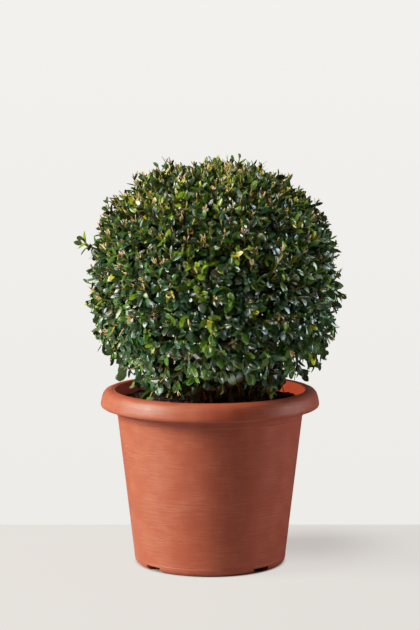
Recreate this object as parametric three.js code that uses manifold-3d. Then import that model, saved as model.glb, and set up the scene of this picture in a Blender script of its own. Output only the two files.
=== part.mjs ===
// A clipped box ball in a terracotta-coloured plastic pot, at its real size in millimetres.
// +Z is up and the front is towards -Y. The origin is the middle of the pot's foot, on the ground.

import * as THREE from "three";
import { mergeVertices } from "three/addons/utils/BufferGeometryUtils.js";
import Module from "manifold-3d";

const wasm = await Module();
wasm.setup();

// The gap that touching pieces keep
const GAP = 0.3;

// The pot: a tapered wall, a rolled lip with a bead inside it, and a foot ring with four drain notches
const POT_SIDES = 64;
const FOOT_RADIUS = 118;
const WALL_SLOPE = 0.117;
const WALL_THICKNESS = 3.2;
const FOOT_RING_INNER = 103;
const FOOT_ROUNDING = 6;
const FLOOR_UNDERSIDE = 7;
const FLOOR_TOP = 10.4;
const COLLAR_HEIGHT = 234;
const COLLAR_STEP = 1.2;
const LIP_RADIUS = 170;
const LIP_UNDERSIDE = 247;
const LIP_CORNER = 4;
const LIP_RECESS = 4;
const LIP_FACE_TOP = 264;
const LIP_FACE_LEAN = 4;
const LIP_CROWN = 275;
const LIP_CROWN_WIDTH = 9;
const BEAD_RADIUS = 1.8;
const BEAD_MIDDLE = [150.8, 272];
const NOTCHES = 4;
const NOTCH_TURN = THREE.MathUtils.degToRad(39.7);
const NOTCH_WIDTH = 27;
const NOTCH_DEPTH = 27;
const DRAIN_RADIUS = 7;
const DRAIN_DISTANCE = 84;
const DRAIN_SIDES = 10;

// The compost: it fills the pot and rises a little towards the stem
const COMPOST_EDGE = 256;
const COMPOST_SEAT = 262;
const SEAT_RADIUS = 27;
const COMPOST_LUMP = 1.6;
const COMPOST_SIDES = 32;

// The clipped form: a ball whose upper half has fuller shoulders than a sphere
const BALL_MIDDLE = new THREE.Vector3(7, 0, 432);
const BALL_RADIUS = 198;
const CROWN_HEIGHT = 200;
const SHOULDER_POWER = 2.35;

// The limbs under the ball
const CORE_FLAT = 296;
const STEM_RADIUS = 13;
const STEM_FLARE = 8;
const STEM_TIP_RADIUS = 10;
const STEM_LEAN = 4;
const STEM_LOBE = 0.12;
const BOUGHS = 5;
const BOUGH_RADIUS = 6;
const BOUGH_TIP_RADIUS = 4.5;
const BOUGH_SPREAD = 60;
const BOUGH_RISE = 13;

// The dense inside of the ball, as a share of the form, and how uneven its surface is
const CORE_SHARE = 0.885;
const CORE_LUMP = 0.022;
const CORE_SIDES = 24;
const CORE_RINGS = 9;

// The leafy shoots that stand out of it. The upper leaves reach the clipped form, the lower ones stop short.
const GOLDEN_TURN = Math.PI * (3 - Math.sqrt(5));
const BRANCHES = 44;
const BRANCH_SHARE = 0.7;
const SHOOTS = 97;
const SHOOT_SHARE = 0.93;
const SHOOT_SCATTER = 0.09;
const TWIG_RADIUS = 2.6;
const TWIG_TIP_RADIUS = 1.7;
const LEAF_LENGTH = 42;
const LEAF_WIDTH = 24;
const LEAF_THICKNESS = 2.6;
const LEAF_PAIRS = [
  { along: 0.94, short: 0 },
  { along: 0.82, short: 9 },
];
const CLIP_SCATTER = 7;
const LEAF_CLEARANCE = 3;

// Shoots that have grown past the clipped form, by where they point and how far they stand out
const STRAYS = [
  { azimuth: -90, elevation: 19, beyond: 18 },
  { azimuth: 92, elevation: -3, beyond: 12 },
  { azimuth: -28, elevation: 66, beyond: 8 },
  { azimuth: 20, elevation: 78, beyond: 5 },
  { azimuth: 178, elevation: 8, beyond: 6 },
  { azimuth: 4, elevation: 12, beyond: 8 },
  { azimuth: 128, elevation: 40, beyond: 9 },
];

const MATERIALS = {
  plastic: new THREE.MeshStandardMaterial({ color: 0xb8603f, roughness: 0.5, metalness: 0 }),
  compost: new THREE.MeshStandardMaterial({ color: 0x2a1b14, roughness: 0.95, metalness: 0 }),
  bark: new THREE.MeshStandardMaterial({ color: 0x8a7352, roughness: 0.85, metalness: 0 }),
  leaf: new THREE.MeshStandardMaterial({ color: 0x2f4a22, roughness: 0.4, metalness: 0 }),
};

// A number from 0 to 1 that depends only on the two whole numbers it is asked for.
function seeded(i, k) {
  const s = Math.sin(i * 12.9898 + k * 78.233 + 4.7) * 43758.5453;
  return s - Math.floor(s);
}

// A value made larger or smaller by up to a share of itself.
function varied(value, share, i, k) {
  return value * (1 + share * (2 * seeded(i, k) - 1));
}

// A closed three.js geometry as a solid.
function solidOf(geometry) {
  const bare = new THREE.BufferGeometry().setAttribute("position", geometry.getAttribute("position"));
  bare.setIndex(geometry.getIndex());
  const merged = mergeVertices(bare, 1e-3);
  return new wasm.Manifold(
    new wasm.Mesh({
      numProp: 3,
      vertProperties: new Float32Array(merged.attributes.position.array),
      triVerts: new Uint32Array(merged.index.array),
    }),
  );
}

// A solid as a named mesh.
function nodeOf(name, solid, material) {
  const mesh = solid.getMesh();
  const geometry = new THREE.BufferGeometry();
  geometry.setAttribute("position", new THREE.BufferAttribute(new Float32Array(mesh.vertProperties), 3));
  geometry.setIndex(new THREE.BufferAttribute(new Uint32Array(mesh.triVerts), 1));
  geometry.computeVertexNormals();
  const node = new THREE.Mesh(geometry, material);
  node.name = name;
  return node;
}

// Points on an elliptical arc, as radius and height, from one angle to another in degrees.
function arc([r, z], [acrossRadius, upRadius], from, to, steps) {
  return Array.from({ length: steps + 1 }, (_, i) => {
    const a = THREE.MathUtils.degToRad(from + ((to - from) * i) / steps);
    return [r + acrossRadius * Math.cos(a), z + upRadius * Math.sin(a)];
  });
}

// An outline of radius and height, turned about the Z axis. Its first column faces -Y.
function revolved(outline, sides) {
  const geometry = new THREE.LatheGeometry(
    outline.map(([r, z]) => new THREE.Vector2(r, z)),
    sides,
  );
  return geometry.rotateX(Math.PI / 2);
}

// Moves each vertex of a geometry by a function that changes the vector it is given.
function reshaped(geometry, change) {
  const position = geometry.getAttribute("position");
  const point = new THREE.Vector3();
  for (let i = 0; i < position.count; i++) {
    change(point.fromBufferAttribute(position, i));
    position.setXYZ(i, point.x, point.y, point.z);
  }
  return geometry;
}

// Every vertex of a geometry, as vectors.
function pointsOf(geometry) {
  const position = geometry.getAttribute("position");
  const pointAt = (_, i) => new THREE.Vector3().fromBufferAttribute(position, i);
  return Array.from({ length: position.count }, pointAt);
}

// A tapering limb with flat ends: an upright cylinder that is bent along a curve.
function limb(curve, rootRadius, tipRadius, sides, steps) {
  const frames = curve.computeFrenetFrames(steps, false);
  return reshaped(new THREE.CylinderGeometry(tipRadius, rootRadius, steps, sides, steps), (p) => {
    const step = Math.round(p.y + steps / 2);
    const { x, z } = p;
    p.copy(curve.getPointAt(step / steps));
    p.addScaledVector(frames.binormals[step], x).addScaledVector(frames.normals[step], z);
  });
}

// The outer radius of the pot's plain wall at a height.
function wallRadius(z) {
  return FOOT_RADIUS + WALL_SLOPE * z;
}

function potOutline() {
  const footCorner = [wallRadius(FOOT_ROUNDING) - FOOT_ROUNDING, FOOT_ROUNDING];
  const lipCorner = [LIP_RADIUS - LIP_CORNER, LIP_UNDERSIDE + LIP_CORNER];
  const crown = [LIP_RADIUS - LIP_FACE_LEAN - LIP_CROWN_WIDTH, LIP_FACE_TOP];
  const recess = LIP_UNDERSIDE + LIP_RECESS;
  const collarRadius = wallRadius(COLLAR_HEIGHT) + COLLAR_STEP;
  const insideAt = (z) => wallRadius(z) - WALL_THICKNESS;
  return [
    [0, FLOOR_UNDERSIDE],
    [FOOT_RING_INNER, FLOOR_UNDERSIDE],
    [FOOT_RING_INNER, 0],
    ...arc(footCorner, [FOOT_ROUNDING, FOOT_ROUNDING], -90, 0, 3),
    [wallRadius(COLLAR_HEIGHT), COLLAR_HEIGHT],
    [collarRadius, COLLAR_HEIGHT + COLLAR_STEP],
    [wallRadius(recess) + COLLAR_STEP, recess],
    [lipCorner[0] - LIP_CORNER, recess],
    [lipCorner[0] - LIP_CORNER / 2, LIP_UNDERSIDE],
    ...arc(lipCorner, [LIP_CORNER, LIP_CORNER], -90, 0, 2),
    ...arc(crown, [LIP_CROWN_WIDTH, LIP_CROWN - LIP_FACE_TOP], 0, 90, 4),
    [BEAD_MIDDLE[0] + BEAD_RADIUS, LIP_CROWN - 2],
    ...arc(BEAD_MIDDLE, [BEAD_RADIUS, BEAD_RADIUS], 60, 180, 2),
    [BEAD_MIDDLE[0] - BEAD_RADIUS, BEAD_MIDDLE[1] - BEAD_RADIUS * 2],
    [insideAt(LIP_FACE_TOP), LIP_FACE_TOP - BEAD_RADIUS],
    [insideAt(FLOOR_TOP + FOOT_ROUNDING), FLOOR_TOP + FOOT_ROUNDING],
    [insideAt(FLOOR_TOP) - FOOT_ROUNDING, FLOOR_TOP],
    [0, FLOOR_TOP],
  ];
}

function pot() {
  let solid = solidOf(revolved(potOutline(), POT_SIDES));
  for (let i = 0; i < NOTCHES; i++) {
    const turn = NOTCH_TURN + (2 * Math.PI * i) / NOTCHES;
    const notch = new THREE.BoxGeometry(NOTCH_WIDTH, NOTCH_DEPTH, 2 * FLOOR_UNDERSIDE);
    notch.translate(0, -(FOOT_RING_INNER + FOOT_RADIUS) / 2, 0).rotateZ(turn);
    const drain = new THREE.CylinderGeometry(DRAIN_RADIUS, DRAIN_RADIUS, FLOOR_TOP * 2, DRAIN_SIDES);
    drain.rotateX(Math.PI / 2).translate(0, -DRAIN_DISTANCE, FLOOR_TOP).rotateZ(turn);
    solid = solid.subtract(solidOf(notch)).subtract(solidOf(drain));
  }
  return solid;
}

// The compost keeps clear of the pot's wall and floor. Its top is a low, lumpy mound, flat under the stem.
function compost() {
  const insideAt = (z) => wallRadius(z) - WALL_THICKNESS - GAP;
  const bottom = FLOOR_TOP + GAP;
  const edge = insideAt(COMPOST_EDGE);
  const mound = [0, 0.25, 0.5, 0.75, 1].map((share) => [
    THREE.MathUtils.lerp(edge, SEAT_RADIUS, share),
    THREE.MathUtils.lerp(COMPOST_EDGE, COMPOST_SEAT, share ** 2),
  ]);
  const outline = [
    [0, bottom],
    [insideAt(bottom) - FOOT_ROUNDING, bottom],
    [insideAt(bottom + FOOT_ROUNDING), bottom + FOOT_ROUNDING],
    ...mound,
    [0, COMPOST_SEAT],
  ];
  const lumpy = reshaped(revolved(outline, COMPOST_SIDES), (p) => {
    const r = Math.hypot(p.x, p.y);
    const isLoose = p.z > COMPOST_EDGE + GAP && r > SEAT_RADIUS + 1;
    if (isLoose) p.z += COMPOST_LUMP * Math.sin(p.x / 13 + 1) * Math.cos(p.y / 17);
  });
  return solidOf(lumpy);
}

// The short main stem, from its flat cut on the compost to the core's underside, made stouter by some amount.
function stem(grown = 0) {
  const foot = COMPOST_SEAT + GAP;
  const height = CORE_FLAT - GAP - foot;
  const taper = Array.from({ length: 7 }, (_, i) => {
    const share = i / 6;
    const radius = THREE.MathUtils.lerp(STEM_RADIUS, STEM_TIP_RADIUS, share) + STEM_FLARE * (1 - share) ** 4;
    return [radius + grown, foot + height * share];
  });
  const upright = revolved([[0, foot], ...taper, [0, foot + height]], 18);
  const leaning = reshaped(upright, (p) => {
    const down = 1 - (p.z - foot) / height;
    const lobes = 1 + STEM_LOBE * down * Math.cos(3 * Math.atan2(p.y, p.x));
    p.x = p.x * lobes + BALL_MIDDLE.x - STEM_LEAN * down;
    p.y *= lobes;
  });
  return solidOf(leaning);
}

// One bough: it leaves the stem near the ground and bends up into the core's underside.
function bough(i) {
  const turn = (2 * Math.PI * (i + 0.15 * seeded(i, 1))) / BOUGHS;
  const out = new THREE.Vector3(Math.cos(turn), Math.sin(turn), 0);
  const spread = varied(BOUGH_SPREAD, 0.15, i, 2);
  const height = COMPOST_SEAT + varied(BOUGH_RISE, 0.15, i, 3);
  const root = new THREE.Vector3(BALL_MIDDLE.x - STEM_LEAN / 2, 0, height);
  const elbow = root.clone().addScaledVector(out, spread * 0.75);
  elbow.z += BOUGH_RADIUS;
  const tip = root.clone().addScaledVector(out, spread);
  tip.z = CORE_FLAT + BOUGH_RADIUS;
  const curve = new THREE.QuadraticBezierCurve3(root, elbow, tip);
  const whole = solidOf(limb(curve, BOUGH_RADIUS, BOUGH_TIP_RADIUS, 8, 7));
  const above = new THREE.BoxGeometry(BALL_RADIUS, BALL_RADIUS, BALL_RADIUS);
  above.translate(0, 0, CORE_FLAT - GAP + BALL_RADIUS / 2);
  return whole.subtract(solidOf(above)).subtract(stem(GAP));
}

// A direction by its azimuth, from the front towards +X, and its elevation, in degrees.
function pointing(azimuth, elevation) {
  const [a, e] = [azimuth, elevation].map(THREE.MathUtils.degToRad);
  return new THREE.Vector3(Math.sin(a) * Math.cos(e), -Math.cos(a) * Math.cos(e), Math.sin(e));
}

// Direction i of n that are spread evenly over a ball, from its top to its bottom.
function spreadDirection(i, n) {
  const rise = 1 - (2 * i + 1) / n;
  const across = Math.sqrt(1 - rise * rise);
  return new THREE.Vector3(across * Math.cos(i * GOLDEN_TURN), across * Math.sin(i * GOLDEN_TURN), rise);
}

// How far the clipped form reaches from its middle in a direction.
function formRadius(direction) {
  if (direction.z <= 0) return BALL_RADIUS;
  const across = Math.hypot(direction.x, direction.y) / BALL_RADIUS;
  const up = direction.z / CROWN_HEIGHT;
  return (across ** SHOULDER_POWER + up ** SHOULDER_POWER) ** (-1 / SHOULDER_POWER);
}

// The ball's dense inside: the form made smaller, a little lumpy, and cut flat underneath.
function core() {
  const flat = CORE_FLAT - BALL_MIDDLE.z;
  const lowest = Math.asin(flat / (BALL_RADIUS * CORE_SHARE));
  const outline = [[0, flat]];
  for (let i = 0; i < CORE_RINGS; i++) {
    const elevation = THREE.MathUtils.lerp(lowest, Math.PI / 2, i / CORE_RINGS);
    const direction = new THREE.Vector3(Math.cos(elevation), 0, Math.sin(elevation));
    direction.multiplyScalar(formRadius(direction) * CORE_SHARE);
    outline.push([direction.x, direction.z]);
  }
  outline.push([0, CROWN_HEIGHT * CORE_SHARE]);
  const lumpy = reshaped(revolved(outline, CORE_SIDES), (p) => {
    const lump = Math.sin(p.x / 15) * Math.cos(p.y / 17 + 1) + Math.sin(p.z / 14 + p.x / 30);
    if (p.z > flat + 1) p.multiplyScalar(1 + CORE_LUMP * lump);
  });
  return solidOf(lumpy.translate(BALL_MIDDLE.x, BALL_MIDDLE.y, BALL_MIDDLE.z));
}

// The branch ends inside the core, from which the shoots fan out.
const branchDirections = Array.from({ length: BRANCHES }, (_, i) => spreadDirection(i, BRANCHES));

// A shoot's centreline: from the end of the nearest branch to its own place in the form. A long one bends.
function shootCurve(direction, reach, isLong) {
  const parent = branchDirections.reduce((best, d) => (d.dot(direction) > best.dot(direction) ? d : best));
  const root = BALL_MIDDLE.clone().addScaledVector(parent, formRadius(parent) * BRANCH_SHARE);
  const tip = BALL_MIDDLE.clone().addScaledVector(direction, reach);
  const elbow = root.clone().lerp(tip, 0.5).addScaledVector(parent, root.distanceTo(tip) * 0.1);
  return isLong ? new THREE.QuadraticBezierCurve3(root, elbow, tip) : new THREE.LineCurve3(root, tip);
}

// Whether a point of the foliage keeps clear of the compost, the pot's lip and the limbs under the core.
function isClear(p) {
  if (p.z < COMPOST_SEAT + LEAF_CLEARANCE) return false;
  const fromPotAxis = Math.hypot(p.x, p.y);
  if (p.z < LIP_CROWN + LEAF_CLEARANCE && fromPotAxis > BEAD_MIDDLE[0] - 2 * LEAF_CLEARANCE) return false;
  const fromBallAxis = Math.hypot(p.x - BALL_MIDDLE.x, p.y);
  return p.z > CORE_FLAT + LEAF_CLEARANCE || fromBallAxis > BOUGH_SPREAD * 1.25 + BOUGH_RADIUS;
}

// A leaf of eight faces: an octahedron stretched from the leaf's root along its midrib.
function leaf(root, along, side, length) {
  const frame = new THREE.Matrix4().makeBasis(along, side, new THREE.Vector3().crossVectors(along, side));
  frame.scale(new THREE.Vector3(length / 2, (LEAF_WIDTH * length) / LEAF_LENGTH / 2, LEAF_THICKNESS / 2));
  frame.setPosition(root.clone().addScaledVector(along, length / 2));
  return new THREE.OctahedronGeometry(1).applyMatrix4(frame);
}

// The leaves of one shoot: opposite pairs, each a quarter turn from the pair before it. A leaf leans out
// so far that its tip meets the clipped form.
function leavesOf(index, curve, beyond) {
  const leaves = LEAF_PAIRS.flatMap(({ along, short }, pair) => {
    const root = curve.getPointAt(along);
    const depth = root.distanceTo(BALL_MIDDLE);
    const outward = root.clone().sub(BALL_MIDDLE).normalize();
    const level = new THREE.Vector3(-outward.y, outward.x, 0.001).normalize();
    return [0, 1].map((half) => {
      const draw = 2 * pair + half;
      const length = varied(LEAF_LENGTH, 0.15, index, 30 + draw);
      const clipped = formRadius(outward) + beyond - short - CLIP_SCATTER * seeded(index, 20 + draw);
      const rise = THREE.MathUtils.clamp((clipped - depth) / length - length / (2 * clipped), -0.1, 0.9);
      const away = level.clone().applyAxisAngle(outward, (2 * seeded(index, 11) + pair / 2 + half) * Math.PI);
      const midrib = outward.clone().multiplyScalar(rise).addScaledVector(away, Math.sqrt(1 - rise * rise));
      return leaf(root, midrib, new THREE.Vector3().crossVectors(outward, away), length);
    });
  });
  return leaves.filter((geometry) => pointsOf(geometry).every(isClear)).map(solidOf);
}

// One shoot, as the solids of its twig and its leaves. A shoot that would leave its space is left out.
function shoot(index, direction, beyond) {
  const curve = shootCurve(direction, formRadius(direction) * SHOOT_SHARE + beyond, beyond > 0);
  const twig = limb(curve, TWIG_RADIUS, TWIG_TIP_RADIUS, 3, beyond > 0 ? 4 : 1);
  if (!isClear(curve.getPoint(1))) return [];
  return [solidOf(twig), ...leavesOf(index, curve, beyond)];
}

// The whole clipped mass as one body. Loose scraps and sealed hollows are dropped.
function foliage() {
  const pieces = [core()];
  for (let i = 0; i < SHOOTS; i++) {
    const direction = spreadDirection(i, SHOOTS);
    direction.x += SHOOT_SCATTER * (seeded(i, 5) - 0.5);
    direction.y += SHOOT_SCATTER * (seeded(i, 6) - 0.5);
    pieces.push(...shoot(i, direction.normalize(), 0));
  }
  STRAYS.forEach(({ azimuth, elevation, beyond }, i) => {
    pieces.push(...shoot(SHOOTS + i, pointing(azimuth, elevation), beyond));
  });
  const bodies = wasm.Manifold.union(pieces).decompose();
  return bodies.reduce((best, body) => (body.volume() > best.volume() ? body : best));
}

const plant = new THREE.Group();
plant.add(nodeOf("pot", pot(), MATERIALS.plastic));
plant.add(nodeOf("compost", compost(), MATERIALS.compost));
plant.add(nodeOf("main_stem", stem(), MATERIALS.bark));
for (let i = 0; i < BOUGHS; i++) {
  plant.add(nodeOf(`bough_${i + 1}`, bough(i), MATERIALS.bark));
}
plant.add(nodeOf("foliage_ball", foliage(), MATERIALS.leaf));

export default plant;
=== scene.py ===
# %% [markdown]
# # A clipped box ball in its pot
#
# Box is an evergreen shrub with leaves no longer than a fingernail. Clipped every summer, it grows so dense
# that its outline looks solid, and this one stands in a round plastic pot that is coloured like terracotta.
#
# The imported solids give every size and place. Here each of them gets the surface of the real thing: a pot
# with turned lines and a rolled lip, compost with crumbs and chips, bark, and more than 11,000 leaves.
# All lengths are in metres, +Z is up, and the front is towards -Y.

# %% The frame
import math

import bmesh
import bpy
import numpy as np
from mathutils import Matrix, Vector


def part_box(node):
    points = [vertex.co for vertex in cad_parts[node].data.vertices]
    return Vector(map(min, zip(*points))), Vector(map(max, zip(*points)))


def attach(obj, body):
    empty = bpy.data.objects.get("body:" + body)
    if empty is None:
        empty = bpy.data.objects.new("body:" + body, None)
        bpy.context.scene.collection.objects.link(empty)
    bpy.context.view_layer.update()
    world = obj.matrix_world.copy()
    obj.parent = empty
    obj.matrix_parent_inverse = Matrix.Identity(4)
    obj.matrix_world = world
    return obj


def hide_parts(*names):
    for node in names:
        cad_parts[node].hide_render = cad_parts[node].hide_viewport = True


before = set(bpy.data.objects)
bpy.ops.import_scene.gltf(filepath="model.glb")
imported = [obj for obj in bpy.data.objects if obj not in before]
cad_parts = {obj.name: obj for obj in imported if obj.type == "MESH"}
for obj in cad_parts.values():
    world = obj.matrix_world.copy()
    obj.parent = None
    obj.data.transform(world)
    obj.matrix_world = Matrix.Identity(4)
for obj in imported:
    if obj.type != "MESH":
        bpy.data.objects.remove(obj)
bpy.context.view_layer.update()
print("solids:", ", ".join(sorted(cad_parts)))

# %% [markdown]
# ## The camera
#
# The photograph was taken from a little above the pot's lip, with a long lens: the lip and the foot are
# both narrow ellipses, and their widths give the distance. The lens is worked out from the focal length in
# pixels, because the long side of the picture then matches Blender's sensor width.

# %% Camera
PHOTO_HEIGHT_PX = 630
FOCAL_LENGTH_PX = 2060
CAMERA_DISTANCE = 3.20
CAMERA_HEIGHT = 0.762
CAMERA_PITCH = 0.1156
SENSOR_WIDTH = 36

camera = bpy.data.objects.new("camera", bpy.data.cameras.new("camera"))
camera.data.sensor_width = SENSOR_WIDTH
camera.data.lens = FOCAL_LENGTH_PX / PHOTO_HEIGHT_PX * SENSOR_WIDTH
camera.location = (0, -CAMERA_DISTANCE, CAMERA_HEIGHT)
camera.rotation_euler = (math.pi / 2 - CAMERA_PITCH, 0, 0)
bpy.context.scene.collection.objects.link(camera)
bpy.context.scene.camera = camera
print(f"lens {camera.data.lens:.1f} mm")

# %% [markdown]
# ## The picture's tones
#
# Film and camera pictures flatten towards white: a bright colour's strongest channel is held back first, so
# lit terracotta turns a little paler and more orange than the same pot in the shade. Blender's Standard view
# has no such shoulder. A curve under Colour Management gives it one, and leaves dark tones as they are.

# %% Tones
WHITE = 1.65
KNEE = 0.20
CURVE_STEPS = 12
CURVE_CROWDING = 1.5
COMBINED_CURVE = 3


def shoulder(light):
    """The picture's value of a scene's light, x: x up to the knee, and knee + (x - knee) / (1 + k (x -
    knee)) above it, with k such that white comes out as 1."""
    bend = 1 / (1 - KNEE) - 1 / (WHITE - KNEE)
    above = max(light - KNEE, 0)
    return min(light, KNEE) + above / (1 + bend * above)


view = bpy.context.scene.view_settings
view.view_transform = "Standard"
view.use_curve_mapping = True
view.curve_mapping.white_level = (WHITE, WHITE, WHITE)
tones = view.curve_mapping.curves[COMBINED_CURVE]
for step in range(1, CURVE_STEPS):
    share = (step / CURVE_STEPS) ** CURVE_CROWDING
    tones.points.new(share, shoulder(share * WHITE))
view.curve_mapping.update()
print(f"light 1.0 is shown as {shoulder(1.0):.2f}")

# %% [markdown]
# ## Meshes from arrays
#
# Every piece below is worked out as whole numpy arrays: a grid of points, or thousands of small grids at
# once. One helper puts such arrays into a mesh, and marks the edges where the surface turns sharply, so
# that smooth shading stops there.


# %% Mesh helpers
def unit(vectors):
    """Vectors of length one: each vector divided by its own length."""
    return vectors / np.linalg.norm(vectors, axis=-1, keepdims=True)


def pointing(azimuth, elevation):
    """A direction by its azimuth from the front towards +X, and its elevation, in degrees."""
    a, e = np.radians(azimuth), np.radians(elevation)
    return np.stack([np.sin(a) * np.cos(e), -np.cos(a) * np.cos(e), np.sin(e)], axis=-1)


def bent(start, elbow, end, t):
    """A quadratic curve at t: (1-t)^2 start + 2t(1-t) elbow + t^2 end."""
    return (1 - t) ** 2 * start + 2 * t * (1 - t) * elbow + t**2 * end


def grid_faces(rows, columns, wrap=False):
    """Faces of a grid of points that is stored row by row. Each joins a point, the next one in its row, and
    the two beyond them in the next row. With wrap, the last column joins the first."""
    row = np.arange(rows - 1)[:, None] * columns
    column = np.arange(columns if wrap else columns - 1)
    after = (column + 1) % columns
    quads = [row + column, row + after, row + columns + after, row + columns + column]
    return np.stack(np.broadcast_arrays(*quads), axis=-1).reshape(-1, 4)


def repeated(faces, copies, step):
    """The same faces for many equal bodies: body k's point numbers start at k times step."""
    return (np.arange(copies)[:, None, None] * step + faces).reshape(-1, faces.shape[1])


def make_piece(name, points, faces, materials, dealt=None, sharp=40):
    """A finished piece of the object. points is (n, 3), faces a list of arrays that hold one face in each
    row, dealt one array of material numbers for each of them, and sharp the angle that stops smoothing."""
    corners = np.concatenate([f.ravel() for f in faces])
    sizes = np.concatenate([np.full(len(f), f.shape[1]) for f in faces])
    mesh = bpy.data.meshes.new(name)
    mesh.vertices.add(len(points))
    mesh.vertices.foreach_set("co", np.asarray(points, np.float32).ravel())
    mesh.loops.add(len(corners))
    mesh.loops.foreach_set("vertex_index", corners.astype(np.int32))
    mesh.polygons.add(len(sizes))
    mesh.polygons.foreach_set("loop_start", np.r_[0, np.cumsum(sizes)[:-1]].astype(np.int32))
    if dealt is not None:
        mesh.polygons.foreach_set("material_index", np.concatenate(dealt).astype(np.int32))
    mesh.update(calc_edges=True)
    mesh.shade_smooth()
    mesh.set_sharp_from_angle(angle=math.radians(sharp))
    for material in materials:
        mesh.materials.append(material)
    piece = bpy.data.objects.new(name, mesh)
    bpy.context.scene.collection.objects.link(piece)
    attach(piece, "root")
    print(f"{name}: {int((sizes - 2).sum())} triangles")
    return piece


# %% [markdown]
# ## Nodes, materials and lamps
#
# A material or a world is a tree of nodes, and each node takes the same steps: make it, set it, give its
# inputs a value or a link. One helper does them all, so that every effect below reads as a short recipe.

# %% Nodes, materials and lamps
LIGHT_AIM = 0.3


def add_node(tree, kind, inputs=None, **settings):
    """A shader node: first its settings, then its inputs, each a value or an output to link to it."""
    node = tree.nodes.new(f"ShaderNode{kind}")
    for setting, value in settings.items():
        setattr(node, setting, value)
    for label, value in (inputs or {}).items():
        if isinstance(value, bpy.types.NodeSocket):
            tree.links.new(value, node.inputs[label])
        else:
            node.inputs[label].default_value = value
    return node


def new_material(name, roughness, colour=(0.5, 0.5, 0.5), **sockets):
    """A material with one Principled BSDF. Further sockets are given with _ for each space in their name."""
    material = bpy.data.materials.new(name)
    material.use_nodes = True
    shader = material.node_tree.nodes["Principled BSDF"]
    shader.inputs["Roughness"].default_value = roughness
    shader.inputs["Base Color"].default_value = (*colour, 1)
    for socket, value in sockets.items():
        shader.inputs[socket.replace("_", " ")].default_value = value
    return material


def toned_materials(tones, roughness, **sockets):
    """A material for each row (name, colour, and more) of a table of tones."""
    return [new_material(name, roughness, colour, **sockets) for name, colour, *_ in tones]


def add_light(name, azimuth, elevation, distance, size, watts, colour):
    """A square soft light that shines on the middle of the plant from a direction, in degrees."""
    lamp = bpy.data.lights.new(name, "AREA")
    lamp.size = size
    lamp.energy = watts
    lamp.color = colour
    light = bpy.data.objects.new(name, lamp)
    away = Vector(pointing(azimuth, elevation))
    light.location = Vector((0, 0, LIGHT_AIM)) + away * distance
    light.rotation_euler = away.to_track_quat("Z", "Y").to_euler()
    bpy.context.scene.collection.objects.link(light)
    return light


def product(tree, first, second):
    """The product of two numbers."""
    return add_node(tree, "Math", {0: first, 1: second}, operation="MULTIPLY").outputs[0]


def tone_between(tree, mask, dark, light):
    """A colour that goes from dark to light as the mask goes from 0 to 1."""
    inputs = {"Factor": mask}
    for socket, tone in (("A", dark), ("B", light)):
        inputs[socket] = (*tone, 1) if isinstance(tone, tuple) else tone
    return add_node(tree, "Mix", inputs, data_type="RGBA").outputs["Result"]


def fading(tree, middle, distances, shares):
    """A number that goes softly from one share to another as the distance from a middle point grows."""
    place = add_node(tree, "TexCoord").outputs["Object"]
    apart = add_node(tree, "VectorMath", {0: place, 1: middle}, operation="DISTANCE")
    limits = dict(zip(("From Min", "From Max", "To Min", "To Max"), distances + shares))
    limits["Value"] = apart.outputs["Value"]
    return add_node(tree, "MapRange", limits, interpolation_type="SMOOTHSTEP").outputs["Result"]


print("helpers: nodes, materials, lamps")

# %% [markdown]
# ## The room
#
# The photograph has a pale table and a paler wall far behind it. A wall would stand in the way of a camera
# that goes round the back, so the wall is the world's own colour. Only the camera sees that colour.
# Everything else sees a dim room, a pale wall at the back and a pale ceiling, which give wax and plastic
# something broad to reflect.

# %% Room
WALL_LOW = (1.217, 1.195, 1.120)
WALL_HIGH = (1.341, 1.321, 1.240)
ROOM = (0.006, 0.006, 0.006)
CEILING = (0.050, 0.050, 0.050)
WALL_LIGHT = (0.100, 0.109, 0.119)
WALL_RISE, CEILING_RISE, BACK_REACH = (-0.2, 0.08), (0.3, 0.9), (0.0, 0.7)


def towards(tree, part, limits, colour, other):
    """A background that goes from one colour to another as a part of the direction goes between limits."""
    rise = add_node(tree, "MapRange", {"Value": part, "From Min": limits[0], "From Max": limits[1]})
    tone = tone_between(tree, rise.outputs["Result"], colour, other)
    return add_node(tree, "Background", {"Color": tone}).outputs[0]


def build_world():
    """The wall for the camera, a little lighter higher up, and room, wall and ceiling for everything else."""
    world = bpy.data.worlds.new("room")
    bpy.context.scene.world = world
    world.use_nodes = True
    tree = world.node_tree
    tree.nodes.clear()
    direction = add_node(tree, "TexCoord").outputs["Generated"]
    split = add_node(tree, "SeparateXYZ", {0: direction}).outputs
    wall = towards(tree, split["Z"], WALL_RISE, WALL_LOW, WALL_HIGH)
    ceiling = towards(tree, split["Z"], CEILING_RISE, ROOM, CEILING)
    back = towards(tree, split["Y"], BACK_REACH, (0, 0, 0), WALL_LIGHT)
    room = add_node(tree, "AddShader", {0: ceiling, 1: back}).outputs[0]
    seen = add_node(tree, "LightPath").outputs["Is Camera Ray"]
    either = add_node(tree, "MixShader", {"Fac": seen, 1: room, 2: wall}).outputs[0]
    add_node(tree, "OutputWorld", {"Surface": either})


build_world()
print("room: a wall for the camera, and a dim room for everything else")

# %% [markdown]
# ## The table
#
# The table is a plane that ends where the photograph shows its edge. Its shadow is faint in the photograph,
# so half of what the camera sees of the table is its own glow, except under the pot, where it is dark.

# %% Table
TABLE_BACK_EDGE = 0.257
TABLE_FRONT_EDGE = -1.3
TABLE_SIDE = 3.0
TABLE_ROUGHNESS = 0.7
TABLE_COLOUR = (0.40, 0.39, 0.38)
TABLE_GLOW = (1.48, 1.39, 1.28)
# middle, distances between which the glow changes, and the shares it has there
FOOT_SHADOW = ((0, 0, 0), (0.112, 0.122), (0, 1))
POT_SHADOW = ((0.15, 0.12, 0), (0.02, 0.20), (0.40, 0.60))


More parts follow.
